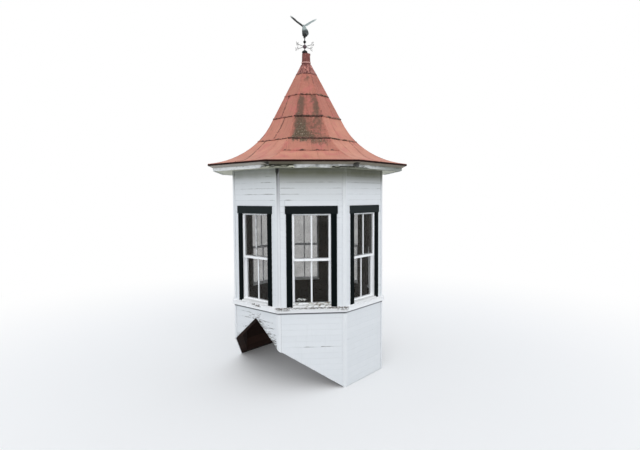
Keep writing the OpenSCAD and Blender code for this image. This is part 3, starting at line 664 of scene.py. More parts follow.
# Broken stretches of the fascia by side: how decayed, middle along the side, half width, power of its ends
BROKEN = {
    SOUTHWEST: [(0.55, 0.0, 0.1095445, 2), (0.9, 0.53, 0.19, 6), (0.8, 0.32, 0.016, 2)],
    WEST: [(0.75, 0.66, 0.11, 4)], SOUTH: [(0.6, -0.56, 0.16, 4)],
}


def decay(i, x):
    """How far the fascia of side i has decayed at x, from 0 to 1: noise, with the corners and the broken
    stretches that show on the southwest, west and south sides."""
    rot = 0.35 * np.clip(swell(on_side(i, x, 2.0, 0), 0.5, 61) - 0.4, 0, 1)
    rot += 0.4 * np.exp(-(fascia_half - np.abs(x)) / 0.05)
    for most, middle, half, power in BROKEN.get(i, []):
        rot += most * np.exp(-((x - middle) / half) ** power)
    return np.clip(rot, 0, 1)


def fascia_board(i, x0, x1):
    """A fascia board from x0 to x1: its foot is chewed by up to 36 mm where it has decayed, and it curls
    out there by a few millimetres. The board that broke off ends on a slant, longer at its top."""
    x = np.linspace(x0, x1, int((x1 - x0) / 0.008) + 2)
    rot = decay(i, x)
    at = on_side(i, x, 2.0, 0)
    teeth = 0.5 + 0.5 * swell(at, 0.045, 62) + 0.3 * swell(at, 0.018, 63)
    lost = (i == SOUTHWEST) * np.clip((x - 0.31) / 0.03, 0, 1) * np.clip((0.72 - x) / 0.03, 0, 1)
    foot = FASCIA_FOOT + 0.036 * rot * np.clip(teeth + 0.35, 0, 1.1) * (1 - lost)
    foot = foot + (0.026 + 0.005 * teeth) * lost
    share = np.linspace(0, 1, 9)[:, None] ** 1.5
    z = foot + (FASCIA_TOP - foot) * share
    curl = 0.004 * rot * (1 - share) * (1 + swell(at, 0.09, 64))
    span = np.broadcast_to(x, z.shape)
    if i == SOUTHWEST:
        span = span + (0.034 - 0.045 * share) * np.clip(1 - (x - x0) / 0.15, 0, 1)
    # Painted shade under the crown on the fascia's upper part, reaching lower on the south side
    shade = np.clip((share - (0.25 if i == SOUTH else 0.45)) / 0.25, 0, 1)
    stains = swell(on_side(i, span, 2.0, 4 * z), 0.12, 65)
    return {
        "front": on_side(i, span, FASCIA_A - 0.0012 * (share == 0) + curl, z),
        "back": on_side(i, span, FASCIA_A - FASCIA_T + 0.3 * curl, z),
        "uv": np.stack([span + 2.1 * i, z], -1), "wear": 1.35 * rot * (0.35 if i == SOUTHWEST else 1.0),
        # The southwest board is greyed all over by dirt and painted shade
        "grime": np.clip(0.78 * (i == SOUTHWEST) + 0.6 * rot + 0.9 * shade + 0.4 * stains, 0, 1),
    }


boards = []
for i in range(8):
    first = lost_end + 0.002 if i == SOUTHWEST else -fascia_half + 0.0005
    boards.append(fascia_board(i, first, fascia_half - 0.0005))
fascia = piece("fascia_boards", boards, fascia_paint)
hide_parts("fascia")


def ragged_strip(x0, x1, low, high, behind, depth, size, seed, black):
    """A strip of rotten wood on the southwest side: a grid from x0 to x1 and low to high whose face, behind
    the fascia's, is broken by noise depth deep and whose two long edges wander. It is black at its first
    end, and black is how dark the rest is."""
    face = FASCIA_A - behind
    x = np.linspace(x0, x1, int((x1 - x0) / 0.006) + 2)
    share = np.linspace(0, 1, 9)[:, None]
    wander = swell(on_side(SOUTHWEST, x, 2.0, 0), size, seed)
    z = low + 0.006 * wander + (high - low - 0.012 * np.abs(wander)) * share
    span = np.broadcast_to(x, z.shape)
    rough = swell(on_side(SOUTHWEST, span, 2.0, 12 * z), size, seed + 1)
    rough = rough + 0.5 * swell(on_side(SOUTHWEST, span, 2.0, 9 * z), 0.02, seed)
    return {
        "front": on_side(SOUTHWEST, span, face + depth * rough * np.sin(np.pi * share) ** 0.5, z),
        "back": on_side(SOUTHWEST, span, face - 0.012, z),
        "uv": np.stack([span, z], -1), "wear": 0.5 + 0.5 * rough,
        "grime": np.clip(black + 1.2 * np.exp(-((span - x0) / 0.10) ** 2), 0, 1),
    }


piece("rotten_backing", [ragged_strip(*strip) for strip in (
    (-fascia_half + 0.012, lost_end + 0.01, FASCIA_FOOT + 0.008, 4.062, 0.022, 0.004, 0.07, 70, 0.0),
    (-fascia_half + 0.020, lost_end - 0.08, 4.012, 4.030, 0.012, 0.003, 0.11, 74, 0.0),
    (-fascia_half + 0.110, lost_end - 0.02, 4.034, 4.046, 0.010, 0.003, 0.09, 78, 0.0),
    (0.335, 0.725, FASCIA_FOOT + 0.002, 4.018, 0.007, 0.002, 0.07, 86, 0.55)
)], rotten_pine)

# Roof sheets
# Painted sheet iron in four courses up each side, sheets joined by flat seams, each course folded over the
# one below. The red paint has faded to salmon, most on the south, and carries lichen, stains and rust.
eave_a, eave_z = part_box("drip_edge")[1].x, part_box("drip_edge")[1].z - 0.002
neck_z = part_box("neck_collar")[0].z
boot_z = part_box("spire_boot")[0].z
BELL_R = 1.522
EAVE_T, SPIRE_T = np.radians([6.4, 63.4])
bell_x, bell_z = eave_a + BELL_R * np.sin(EAVE_T), eave_z + BELL_R * np.cos(EAVE_T)
ARC = BELL_R * (SPIRE_T - EAVE_T)
COURSES = 4
SEAM_W, SEAM_H = 0.020, 0.0045
SHEET_LIFT, SHEET_BACK = 0.0035, 0.0015
PATCH_FOOT = 0.655
# Flat seams of each course by side, each a line of points: metres up the slope, and across from its middle
FLAT_SEAMS = {
    SOUTH: [
        [
            [(0.0, -0.50), (0.39, -0.392), (0.74, -0.205), (1.0, -0.188)],
            [(0.0, -0.12), (0.5, 0.032), (0.79, 0.157)]
        ],
        [[(1.1, -0.10), (1.5, -0.085)]], [[(1.6, 0.07)]], []
    ],
    WEST: [
        [
            [(0.2, 0.02), (0.45, -0.109), (0.75, -0.209), (1.0, -0.197)],
            [(0.2, 0.30), (0.57, 0.239), (0.99, 0.181)]
        ],
        [[(1.1, 0.01), (1.5, 0.04)]], [[(1.6, -0.06)]], []
    ],
    SOUTHWEST: [[[(0.0, 0.124)]], [[(1.1, 0.064), (1.5, 0.05)]], [[(1.6, -0.02)]], []],
}
OTHER_SEAMS = [
    [[(0.3, -0.30), (1.0, -0.22)], [(0.3, 0.24), (1.0, 0.17)]], [[(1.0, -0.03)]], [[(1.0, 0.05)]], []
]
# How faded the paint of each course is, side by side, from 0, dusty brown red, to 1, pale peach
FADED = [
    (0.92, 0.76, 0.50, 0.48), (0.80, 0.75, 0.60, 0.50), (0.70, 0.55, 0.50, 0.45), (0.60, 0.50, 0.42, 0.40),
    (0.55, 0.50, 0.40, 0.42), (0.62, 0.52, 0.45, 0.42), (0.80, 0.68, 0.47, 0.43), (0.62, 0.48, 0.36, 0.40)
]
# How dark the band under the cross seam above each course is, by side: dirt and painted shade
DARK_SEAMS = {SOUTH: (0.30, 0.40, 0.40, 0.0), WEST: (0.36, 0.36, 0.26, 0.0), SOUTHWEST: (1.2, 1.1, 0.35, 0.0)}
OTHER_DARK = (0.7, 0.7, 0.6, 0.0)
# How dark the lowest course's two flat seams are, by side, and every seam of the courses above
DARK_FLAT, OTHER_FLAT = {WEST: (0.95, 0.40), SOUTH: (0.35, 0.70), SOUTHWEST: (0.35, 0.35)}, (0.6, 0.6)
UPPER_FLAT, UPPER_FLAT_WEST = 0.45, 0.80
# Lichen and soft film on the southwest side: amount, middle and half width across, middle and half height up
# the slope, and the power that flattens the mound
LICHEN = [
    (0.95, -0.38, 0.50, 1.26, 0.31, 3), (0.66, 0.56, 0.46, 1.18, 0.26, 4), (0.45, -0.62, 0.26, 1.85, 0.36, 3),
    (0.45, 0.66, 0.26, 1.85, 0.34, 3), (0.60, -0.38, 0.58, 1.13, 0.14, 3), (0.50, -0.45, 0.45, 1.05, 0.09, 2),
    (0.50, 0.50, 0.40, 0.92, 0.15, 4)
]
FILM = [
    (0.75, -0.42, 0.50, 1.30, 0.34, 4), (0.42, 0.50, 0.45, 1.28, 0.30, 4), (0.70, -0.60, 0.34, 1.85, 0.36, 3),
    (0.62, 0.68, 0.36, 1.85, 0.35, 3), (0.22, 0.0, 1.2, 1.80, 0.45, 4), (0.55, 0.1, 0.8, 2.55, 0.14, 2)
]


def slope(s, lift):
    """Half width and height of the roof's surface, lift above it: s metres up the slope, first round the
    bell's arc, whose centre is outside the roof, then straight up the spire."""
    t = EAVE_T + np.minimum(s, ARC) / BELL_R
    on = np.maximum(s - ARC, 0)
    r = BELL_R - lift
    return bell_x - r * np.sin(t) - on * np.cos(SPIRE_T), bell_z - r * np.cos(t) + on * np.sin(SPIRE_T)


def up_to(z):
    """Distance up the slope at which the surface is z high."""
    top = bell_z - BELL_R * np.cos(SPIRE_T)
    if z > top:
        return ARC + (z - top) / np.sin(SPIRE_T)
    return (np.arccos((bell_z - z) / BELL_R) - EAVE_T) * BELL_R


course_s = [up_to(eave_z + (boot_z - eave_z) * k / COURSES) for k in range(COURSES + 1)]
course_s[0] = 0.0015


def faded_sheet(add):
    """Chalked paint in patches of several reds, streaked down the slope, then soft film, matt lichen in rough
    crusts, and darkness in the folds from dirt and from painted shade."""
    place = add("place")
    streak = add("noise", add("stretched", add("map"), (1, 22, 1)), 1 / 0.030, 4, 0.6)
    fine = add("noise", add("stretched", place, (1, 1, 1.6)), 1 / 0.055, 6, 0.7)
    paint = layered(
        add, add("mix", add("tint"), "#803c34", "#d2937b"),
        (add("noise", place, 1 / 0.30, 4, 0.55), 0.3, 0.7, 0.40, "#ad655a"),
        (add("noise", place, 1 / 0.05, 5, 0.65), 0.48, 0.72, 0.40, "#c98475"),
        (add("noise", place, 1 / 0.22, 3, 0.55), 0.50, 0.66, 0.45, "#bf6a66"),
        (streak, 0.51, 0.74, 0.38, "#7d4741"),
        (add("sum", fine, add("times", add("stain"), 0.6)), 0.60, 1.02, 0.88, "#604a3c")
    )
    spots = add("sum", add("noise", place, 1 / 0.030, 6, 0.8), add("times", streak, 0.25))
    grown = add("rise", add("sum", spots, add("times", add("wear"), 0.27)), 0.78, 0.92)
    crust = add("mix", add("noise", place, 1 / 0.03, 5, 0.75), "#37332a", "#655c49")
    rings = add("noise", add("stretched", place, (1, 1, 2)), 1 / 0.022, 4, 0.7)
    crust = layered(add, crust, (rings, 0.56, 0.63, 0.85, "#aca18d"))
    paint = add("mix", add("times", grown, 0.8), paint, crust)
    dirt = add("sum", add("noise", place, 1 / 0.03, 5, 0.7), add("times", add("grime"), 0.5))
    rough = add("sum", grown, add("times", add("noise", place, 1 / 0.004, 3, 0.55), 0.2))
    return {
        "Base Color": layered(add, paint, (dirt, 0.62, 0.95, 0.9, "#35211c")),
        "Roughness": add("rise", grown, 0, 1, 0.62, 0.95),
        "Normal": add("bump", 0.7, 0.003, None, rough),
    }


sheet_iron = surface("faded red paint on sheet iron", faded_sheet, Specular_IOR_Level=0.35)


def mounds(share, s, table):
    """Sum of flat-topped patches round the places of a table, whose outlines wander with noise."""
    p = np.stack(np.broadcast_arrays(share, s, 0.0), -1)
    share = share + 0.12 * swell(p, 0.40, 95) + 0.05 * swell(p, 0.14, 96)
    s = s + 0.06 * swell(p, 0.40, 97) + 0.03 * swell(p, 0.14, 98)
    return sum(
        most * np.exp(-np.abs((share - x0) / w) ** power - np.abs((s - s0) / h) ** power)
        for most, x0, w, s0, h, power in table
    )


def lichen(i, share, s):
    """Painted number for the lichen on side i: share is the place across, from -1 to 1, and s the distance up
    the slope. The southwest side carries a great patch and, beside and above it, thinner growth."""
    mass = 0.06 + 0.12 * swell(on_side(i, share, s, 0), 0.9, 81)
    if i in (2, 3, 4, 5):
        mass = mass + 0.30 * swell(on_side(i, share, 1.5 * s, 0), 0.6, 82)
    return mass + mounds(share, s, LICHEN) if i == SOUTHWEST else mass


def dark_film(i, share, s):
    """Painted number for the soft olive-brown film round the lichen and in two runs above it, and for the
    stain below the boot."""
    if i == SOUTHWEST:
        return mounds(share, s, FILM)
    return 0.10 * (1 + swell(on_side(i, share, s, 0), 0.7, 83))


def sheet_grid(half, seams):
    """Places across each row of half widths half: strips between the two hips and the seams, whose places
    are given row by row. Also the seams' height along a row, and the number of the sheet."""
    knots = [-half]
    for c in seams:
        c = np.clip(c, -half + 0.05, half - 0.05)
        knots += [c - SEAM_W / 2, c + SEAM_W / 2]
    knots.append(half)
    x, ridge, sheet = [], [], []
    for j in range(len(knots) - 1):
        a, b = knots[j], knots[j + 1]
        seam = j % 2 == 1
        t = np.linspace(0, 1, 7 if seam else int(np.max(b - a) / 0.07) + 3, endpoint=False)
        x.append(a + (b - a) * t)
        ridge.append(SEAM_H * np.clip(1.7 * np.sin(np.pi * t), 0, 1) * seam)
        sheet.append(np.full(len(t), (j + 1) // 2))
    x.append(knots[-1])
    ridge, sheet = np.append(np.concatenate(ridge), 0.0), np.append(np.concatenate(sheet), j // 2)
    return np.concatenate(x, 1), ridge, sheet


def metal(i, x, s, lift, under, **painted):
    """A sheet on side i: a grid of places x across and s up the slope. Its face stands lift off the roof's
    surface and its back stands under off it."""
    half, z = slope(s, lift)
    low_half, low_z = slope(s, under)
    return {
        "front": on_side(i, x, half, z), "back": on_side(i, x, low_half, low_z),
        "uv": np.stack([x + 2.3 * i, s], -1), **painted
    }


for i, side in enumerate(SIDES):
    rng = np.random.default_rng(70 + i)
    sheets = []
    for k in range(COURSES):
        head = course_s[k + 1]
        near_head = head + [-0.04, -0.025, -0.012, 0.0, 0.015]
        rows = np.concatenate([np.linspace(course_s[k], head - 0.06, 15), near_head])[:, None]
        seams = [np.interp(rows, *np.transpose(line)) for line in FLAT_SEAMS.get(i, OTHER_SEAMS)[k]]
        if i in (1, 3, 5):
            seams = [-c for c in seams[::-1]]
        half = slope(rows, 0.004)[0] * TAN - 0.0008
        x, ridge, sheet = sheet_grid(half, seams)
        s = np.broadcast_to(rows, x.shape)
        share, up = x / half, (s - s[0]) / (s[-1] - s[0])
        spot = on_side(i, x, s, 0.0)
        flat = 1 - np.abs(share) ** 8
        lift = SHEET_LIFT + 0.004 * (1 - up) + ridge * flat + 0.0016 * swell(spot, 0.30, 5 + i) * flat
        tones = FADED[i][k] + rng.uniform(-0.10, 0.10, len(seams) + 1)
        # Paler along the eave: a painted highlight on the lowest sheets' edge, and the pale strip below the
        # patch
        rim = np.clip((PATCH_FOOT - s) / 0.05, 0, 1) if i == SOUTHWEST else np.exp(-s / 0.02)
        dark = DARK_FLAT.get(i, OTHER_FLAT) if k == 0 else (UPPER_FLAT_WEST if i == WEST else UPPER_FLAT,) * 2
        grime = sum((f * np.exp(-((x - c) / 0.014) ** 2) for c, f in zip(seams, dark)), np.zeros_like(x))
        # Dirt and painted shade in a dark band under the fold of the course above
        grime = grime + DARK_SEAMS.get(i, OTHER_DARK)[k] * np.exp(-(head - s) / 0.028)
        sheets.append(metal(
            i, x, s, lift, SHEET_BACK,
            tint=tones[sheet] + 0.25 * rim * (k == 0) + 0.10 * swell(spot, 0.5, 90), wear=lichen(i, share, s),
            grime=grime + 0.10 * swell(spot, 0.15, 91) - 0.05, stain=dark_film(i, share, s)
        ))
    piece("roof_sheets_" + side, sheets, sheet_iron, smooth=True)

dress(inner_boards, *["roof_" + side for side in SIDES])

# Folded cross seams
# Each course's lower edge is folded over the top of the course below in a roll some 14 mm high, by now
# bent, rusted along its foot and full of dirt. The roll's upper face is painted paler as a highlight and its
# underside darker as painted shade.
LAP_S = np.array([[0.034, 0.022, 0.010, 0.000, -0.007, -0.011, -0.010, -0.006]]).T
LAP_BACK = 0.0012
LAP_LIFT = np.array([[0.0075, 0.0110, 0.0160, 0.0180, 0.0165, 0.0110, 0.0055, 0.0030]]).T
# 1 on the roll's upper face, painted paler as a highlight; 0 on its underside, darker as painted shade
foot = np.clip((5 - np.arange(8)[:, None]) / 5, 0, 1)
laps = []
for i in range(8):
    for k in range(1, COURSES):
        half = slope(course_s[k], 0.010)[0] * TAN - 0.004
        x = np.linspace(-half, half, int(half / 0.008) + 8)[None]
        spot = on_side(i, x, course_s[k], 0)
        bent = 0.006 * swell(spot, 0.10, 20 + k) * (1 - np.abs(x / half) ** 6)
        height = np.clip(1 + (0.45 + 0.40 * (i == SOUTH)) * swell(spot, 0.06, 30 + k), 0.40, 1.6)
        s = course_s[k] + LAP_S + bent
        x = np.broadcast_to(x, s.shape)
        dark = DARK_SEAMS.get(i, OTHER_DARK)[k - 1]
        dirty = 0.6 * dark - 0.2 + 0.45 * swell(on_side(i, x, s, 0), 0.09, 34)
        mossy = {SOUTH: 1.20, SOUTHWEST: 0.9 if k < 3 else 0.3}.get(i, 0.25)
        laps.append(metal(
            i, x, s, SHEET_LIFT + (LAP_LIFT - SHEET_LIFT) * height, LAP_BACK,
            tint=FADED[i][k] + 0.30 * foot - 0.25, wear=mossy + 0.8 * swell(on_side(i, x, s, 0), 0.12, 33),
            grime=(0.4 + 0.9 * dark) * (1 - foot) + dirty
        ))
seams = piece("folded_cross_seams", laps, sheet_iron, smooth=True)
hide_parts("cross_seams")

# Patch
# Two later sheets nailed over the lowest course on the southwest side, from the first cross seam down to a
# ragged edge. Their paint is pinker, and rust runs from the nails.
PATCH_JOINT = 0.030
PATCH_LIFT, PATCH_BACK = 0.0105, 0.0060
NAILS = (-0.46, -0.15, 0.12, 0.40)
patch_top = course_s[1] - 0.004
rows, share = np.linspace(0, 1, 14)[:, None] ** 1.4, np.linspace(0, 1, 34)[None]
patch = []
for j in (0, 1):
    s = PATCH_FOOT + (patch_top - PATCH_FOOT) * rows
    half = slope(s, 0.01)[0] * TAN * 0.955
    x = -half + (PATCH_JOINT + 0.003 + half) * share if j == 0 else PATCH_JOINT + (half - PATCH_JOINT) * share
    spot = on_side(SOUTHWEST, x, s, 0)
    s = s + 0.008 * swell(spot, 0.12, 41) * (1 - rows) ** 6
    nails = sum(np.exp(-((x - n) ** 2 + (s - PATCH_FOOT - 0.02) ** 2) / 0.022 ** 2) for n in NAILS)
    lift = 0.006 * np.clip(swell(spot, 0.20, 42), 0, 1) * (1 - rows) ** 8
    lift = PATCH_LIFT + 0.002 * j * (share < 0.03) + lift + 0.0012 * swell(spot, 0.25, 43)
    # Dirt and painted shade along the ragged foot and under the cross seam, and dirt at the joint
    foot_dirt = 0.55 + 0.6 * swell(spot, 0.10, 45) + 0.5 * np.exp(-((x + 0.15) / 0.06) ** 2)
    joint_dirt = 0.45 * np.exp(-share / 0.02) * j + 0.8 * np.exp(-(patch_top - s) / 0.025)
    patch.append(metal(
        SOUTHWEST, x, s, lift, PATCH_BACK,
        tint=0.64 + 0.08 * swell(spot, 0.3, 44) - 0.12 * j, wear=lichen(SOUTHWEST, x / half, s),
        grime=1.1 * nails + joint_dirt + (1 - rows) ** 12 * foot_dirt, stain=dark_film(SOUTHWEST, x / half, s)
    ))
piece("patch_sheets", patch, sheet_iron, smooth=True)

# Hip folds
# Where two sides of the roof meet, the sheets are folded over each other in a low, soft ridge in their own
# paint, which hardly shows but for a line of dirt here and there.
FOLD_W, FOLD_BACK = 0.017, 0.0022
spans = zip(course_s, course_s[1:])
fold_s = np.concatenate([np.linspace(low + 0.002, high - 0.002, 22) for low, high in spans])[:, None]
fold_k = np.repeat(np.arange(COURSES), 22)
inward = np.array([[1.0, 0.5, 0.0, 0.5, 1.0]]) * FOLD_W
rise = np.array([[0.0078, 0.0092, 0.0102, 0.0092, 0.0078]])
ends = np.array([[1, 1, 1, -1, -1]])
low_half, low_z = slope(fold_s, FOLD_BACK)
folds = []
for i in range(8):
    side = np.array([[i, i, i, i + 1, i + 1]])
    spot = on_side(i, 0.8, fold_s, 0)
    half, z = slope(fold_s, rise + 0.0012 * swell(spot, 0.12, 46) * (inward == 0))
    folds.append({
        "front": on_side(side, ends * (half * TAN - inward), half, z),
        "back": on_side(side, ends * (low_half * TAN - inward), low_half, low_z),
        "tint": np.array([[0.5 * (FADED[i][k] + FADED[(i + 1) % 8][k])] for k in fold_k]), "wear": 0.1,
        "grime": np.clip(0.15 + 0.35 * swell(spot, 0.25, 47) + 0.2 * (inward == 0.0), 0, 1),
    })
hips = piece("hip_folds", folds, sheet_iron, smooth=True)
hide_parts("hip_caps")

# Boot, collar and sleeve
# A boot of sheet metal that laps the top course with a frayed edge, darker along it by dirt and painted
# shade, a beaded collar with a painted highlight along its top and painted shade below it, and the sleeve
# that crowns the spire, in the browner red of metal that holds its paint badly.
COLLAR_FOOT, COLLAR_SHADE, COLLAR_EDGE, COLLAR_TOP = 6.150, 6.200, 6.240, 6.260


def rusted_red(add):
    """Dull red paint in vertical streaks, with pale chalk, dark rust, a painted highlight along the collar's
    top and painted shade below it.
    """
    place = add("place")
    height = add("height", place)
    up = add("noise", add("stretched", place, (1, 1, 9)), 1 / 0.014, 4, 0.6)
    blotch = add("sum", add("tint"), add("noise", add("stretched", place, (1, 1, 2.5)), 1 / 0.045, 4, 0.6))
    chalky = add("noise", add("stretched", place, (1, 1, 4)), 1 / 0.03, 5, 0.7)
    paint = layered(
        add, add("mix", add("noise", place, 1 / 0.06, 5, 0.65), "#935a54", "#683833"),
        (blotch, 0.90, 1.08, 0.90, "#cd8b80"), (up, 0.50, 0.62, 0.85, "#451b1d"),
        (chalky, 0.55, 0.72, 0.6, "#b98478")
    )
    # A painted highlight along the collar's top, and painted shade below it
    bead = band(add, height, COLLAR_EDGE - 0.004, COLLAR_EDGE + 0.004, COLLAR_TOP - 0.004, COLLAR_TOP + 0.004)
    shade = band(add, height, COLLAR_FOOT, COLLAR_SHADE, COLLAR_EDGE - 0.004, COLLAR_EDGE + 0.004)
    for share, colour in (
        (add("times", bead, 0.8), "#dcaea5"), (add("times", shade, 0.45), "#4c2324"),
        (add("times", add("grime"), 0.8), "#2c1613")
    ):
        paint = add("mix", share, paint, colour)
    return {"Base Color": paint, "Normal": add("bump", 0.5, 0.002, None, up)}


red_sleeve = surface("rusted red paint on the spire top", rusted_red, Roughness=0.7, Specular_IOR_Level=0.3)
dress(red_sleeve, "neck_collar")

PER_SIDE = 16
turn = np.arange(8 * PER_SIDE)
which, share = turn // PER_SIDE, 2 * (turn % PER_SIDE) / PER_SIDE - 1
rows = np.linspace(0, 1, 12)[:, None]
boot_s, neck_s = up_to(boot_z), up_to(neck_z)
ring = on_side(which, share, 1.0, 0.0)
frayed = 0.010 * swell(ring, 0.35, 51) + 0.006 * swell(ring, 0.12, 52)
s = boot_s - 0.004 + frayed * (1 - rows) ** 3 + (neck_s - 0.001 - boot_s) * rows
flare = (0.003 + 0.003 * swell(ring, 0.3, 53) + 0.002 * np.abs(share) ** 6) * (1 - rows) ** 5
lift = 0.0078 + np.clip(flare, 0, 1) + 0.0012 * swell(on_side(which, share, s, 0), 0.2, 54)
half, z = slope(s, lift)
low_half, low_z = slope(s, 0.0055 + 0.9 * np.clip(flare, 0, 1))
# Dirt and painted shade along the boot's frayed foot
dirt = (1 - rows) ** 5 * (0.7 + 0.5 * swell(ring, 0.12, 58)) + 0.20 * swell(ring, 0.25, 55)
boot = piece("frayed_boot", [{
    "front": on_side(which, share * half * TAN, half, z),
    "back": on_side(which, share * low_half * TAN, low_half, low_z),
    "around": True, "tint": 0.5 + 0.25 * swell(ring, 0.12, 56), "grime": np.clip(dirt, 0, 1),
}], red_sleeve, smooth=True)
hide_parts("spire_boot")

# Sleeve
# A sleeve of sheet metal round the spire's tip, soldered down one side. Its upper edge is worn uneven, and a
# tab has been crumpled outwards on the south side.
SLEEVE_R, SLEEVE_T = 0.088, 0.004
SPIRE_R, TAB_R, TAB_BACK = 0.085, 0.082, 0.079
TAB_TURN = np.radians(-46)
sleeve_low, sleeve_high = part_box("cap_sleeve")[0].z + 0.056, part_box("cap_sleeve")[1].z


def polar(r, t, z):
    """Points r from the axis at the angle t and the height z."""
    return np.stack(np.broadcast_arrays(r * np.cos(t), r * np.sin(t), z), -1)


t, rows = np.linspace(0, 2 * np.pi, 96, endpoint=False)[None], np.linspace(0, 1, 9)[:, None]
rim = polar(SPIRE_R, t, 0.0)
bent_up = 0.008 * np.exp(-((t - 2 * np.pi - TAB_TURN) / 0.35) ** 2)
edge = sleeve_high - 0.024 + 0.004 * swell(rim, 0.06, 59) + bent_up
z = sleeve_low + (edge - sleeve_low) * rows
out = SLEEVE_R - 0.006 * rows + 0.0010 * swell(rim + 0.3 * rows[..., None], 0.10, 60) * rows
u, v = np.linspace(-1, 1, 9)[:, None], np.linspace(-1, 1, 9)[None]
turn = TAB_TURN + 0.22 * v
crumple = 0.006 * swell(np.stack(np.broadcast_arrays(0.05 * u, 0.05 * v, 0.0), -1), 0.035, 57)
reach = TAB_R + 0.006 * (1 - u ** 2) + 0.7 * crumple
tab_z = sleeve_high - 0.040 + 0.024 * u + 0.4 * crumple
sleeve = piece("worn_sleeve", [
    {
        "front": polar(out, t, z), "back": polar(out - SLEEVE_T, t, z), "around": True,
        "grime": 0.25 * rows ** 8
    },
    {"front": polar(reach, turn, tab_z), "back": polar(TAB_BACK, turn, tab_z), "grime": 0.9}
], red_sleeve, smooth=True)
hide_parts("cap_sleeve")

# Drip edge
# A folded strip of sheet iron nailed along the roof's edge, which throws the rain clear of the crown.
# Little sun reaches its underside and lip, so its red paint hasn't bleached; its near black also paints
# the shade under the roof's edge.


def dark_red(add):
    """Dull, nearly black red with lighter, chalky spots."""
    place = add("place")
    # Nearly black red: unbleached paint, and painted shade under the roof's edge
    paint = add("mix", add("noise", place, 1 / 0.12, 5, 0.65), "#2a0f0c", "#130706")
    spots = add("noise", place, 1 / 0.02, 4, 0.55)
    return {"Base Color": layered(add, paint, (spots, 0.58, 0.78, 0.3, "#5e2c26"))}


edge_paint = surface("dark red paint on the drip edge", dark_red, Roughness=0.7, Specular_IOR_Level=0.1)
dress(edge_paint, "drip_edge")

# Weathervane
# A wrought-iron mast with a dome, two balls and four arms in weathered black, the larger ball browner, and
# the four compass letters cut from strip and riveted to the arms.


def weathered_iron(add):
    """Black scale with brown rust in spots, finely pitted."""
    place = add("place")
    rust = add("rise", add("noise", place, 1 / 0.02, 5, 0.65), 0.5, 0.75)
    pits = add("noise", place, 1 / 0.004, 4, 0.55)
    return {
        "Base Color": add("mix", rust, "#0e1011", "#2a1e19"),
        "Normal": add("bump", 0.4, 0.001, None, pits),
    }


def red_brown(add):
    """Blotched brown patina that still shines a little."""
    return {"Base Color": add("mix", add("noise", add("place"), 1 / 0.03, 5, 0.65), "#75636a", "#3d3036")}


iron = surface("weathered wrought iron", weathered_iron, Roughness=0.6, Specular_IOR_Level=0.4)
dress(iron, "vane_mast", "compass_arms", "upper_ball", "bird_tube")
dress(surface("brown patina on the ball", red_brown, Roughness=0.45, Metallic=0.5), "compass_ball")
low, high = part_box("upper_ball")
mast = np.array([0.5 * (low.x + high.x), 0.5 * (low.y + high.y), 0.0])
DOME_R, MAST_R = 0.057, 0.0075
t, u = np.linspace(0, 2 * np.pi, 48, endpoint=False)[None], np.linspace(0, 1, 20)[:, None]
bulge = DOME_R * np.sqrt(np.clip(1 - (2 * np.minimum(u / 0.9, 1) - 1) ** 2, 0.018, 1)) + 0.004 * (u > 0.86)
z = sleeve_high - 0.030 + 0.090 * u
dome = piece("seated_dome", [
    {"front": mast + polar(bulge, t, z), "back": mast + polar(MAST_R, t, z), "around": True}
], iron, smooth=True)
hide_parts("vane_base")
compass_z = 0.5 * (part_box("compass_arms")[0].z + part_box("compass_arms")[1].z)
LETTER_W, LETTER_H, STRIP, STRIP_T = 0.060, 0.072, 0.008, 0.003
LETTER_OUT, LETTER_UP = 0.220, 0.008
over, under = np.radians(np.linspace(20, 270, 10)), np.radians(np.linspace(62, -160, 9))
S_CURVE = np.concatenate([
    np.stack([0.45 * np.cos(over), 0.25 + 0.25 * np.sin(over)], 1),
    np.stack([0.45 * np.cos(under), 0.25 * np.sin(under) - 0.25], 1)
])
# Each letter's direction from the mast and its strips, as lines of points in widths and heights of the letter
LETTERS = [
    ((-1, 0, 0), [[(-0.5, 0.5), (-0.25, -0.5), (0.0, 0.3), (0.25, -0.5), (0.5, 0.5)]]),
    ((0, 1, 0), [[(-0.5, -0.5), (-0.5, 0.5), (0.5, -0.5), (0.5, 0.5)]]),
    ((1, 0, 0), [[(0.45, 0.5), (-0.45, 0.5), (-0.45, -0.5), (0.45, -0.5)], [(-0.45, 0.0), (0.3, 0.0)]]),
    ((0, -1, 0), [S_CURVE]),
]


def letter_stroke(line, along):
    """A bent strip: each point of the line is moved half the strip's width to both sides, along the mean of
    the normals of the two lengths that meet there, and the strip gets its thickness across the letter."""
    p = np.array(line, float) * (LETTER_W, LETTER_H)
    way = np.diff(p, axis=0)
    way /= np.linalg.norm(way, axis=1)[:, None]
    before, after = np.concatenate([way[:1], way]), np.concatenate([way, way[-1:]])
    mean = before + after
    mean /= np.maximum(np.linalg.norm(mean, axis=1)[:, None], 1e-6)
    normal = np.stack([-mean[:, 1], mean[:, 0]], 1) / np.clip((mean * after).sum(1), 0.45, 1)[:, None]
    edges = np.stack([p + normal * STRIP / 2, p - normal * STRIP / 2])
    along = np.array(along, float)
    across = np.cross((0, 0, 1), along) * STRIP_T / 2
    middle = mast + (0, 0, compass_z + LETTER_UP) + along * LETTER_OUT
    flat = middle + edges[..., :1] * along + edges[..., 1:] * (0, 0, 1)
    return {"front": flat + across, "back": flat - across}


strokes = [letter_stroke(line, along) for along, lines in LETTERS for line in lines]
piece("compass_letters", strokes, iron)

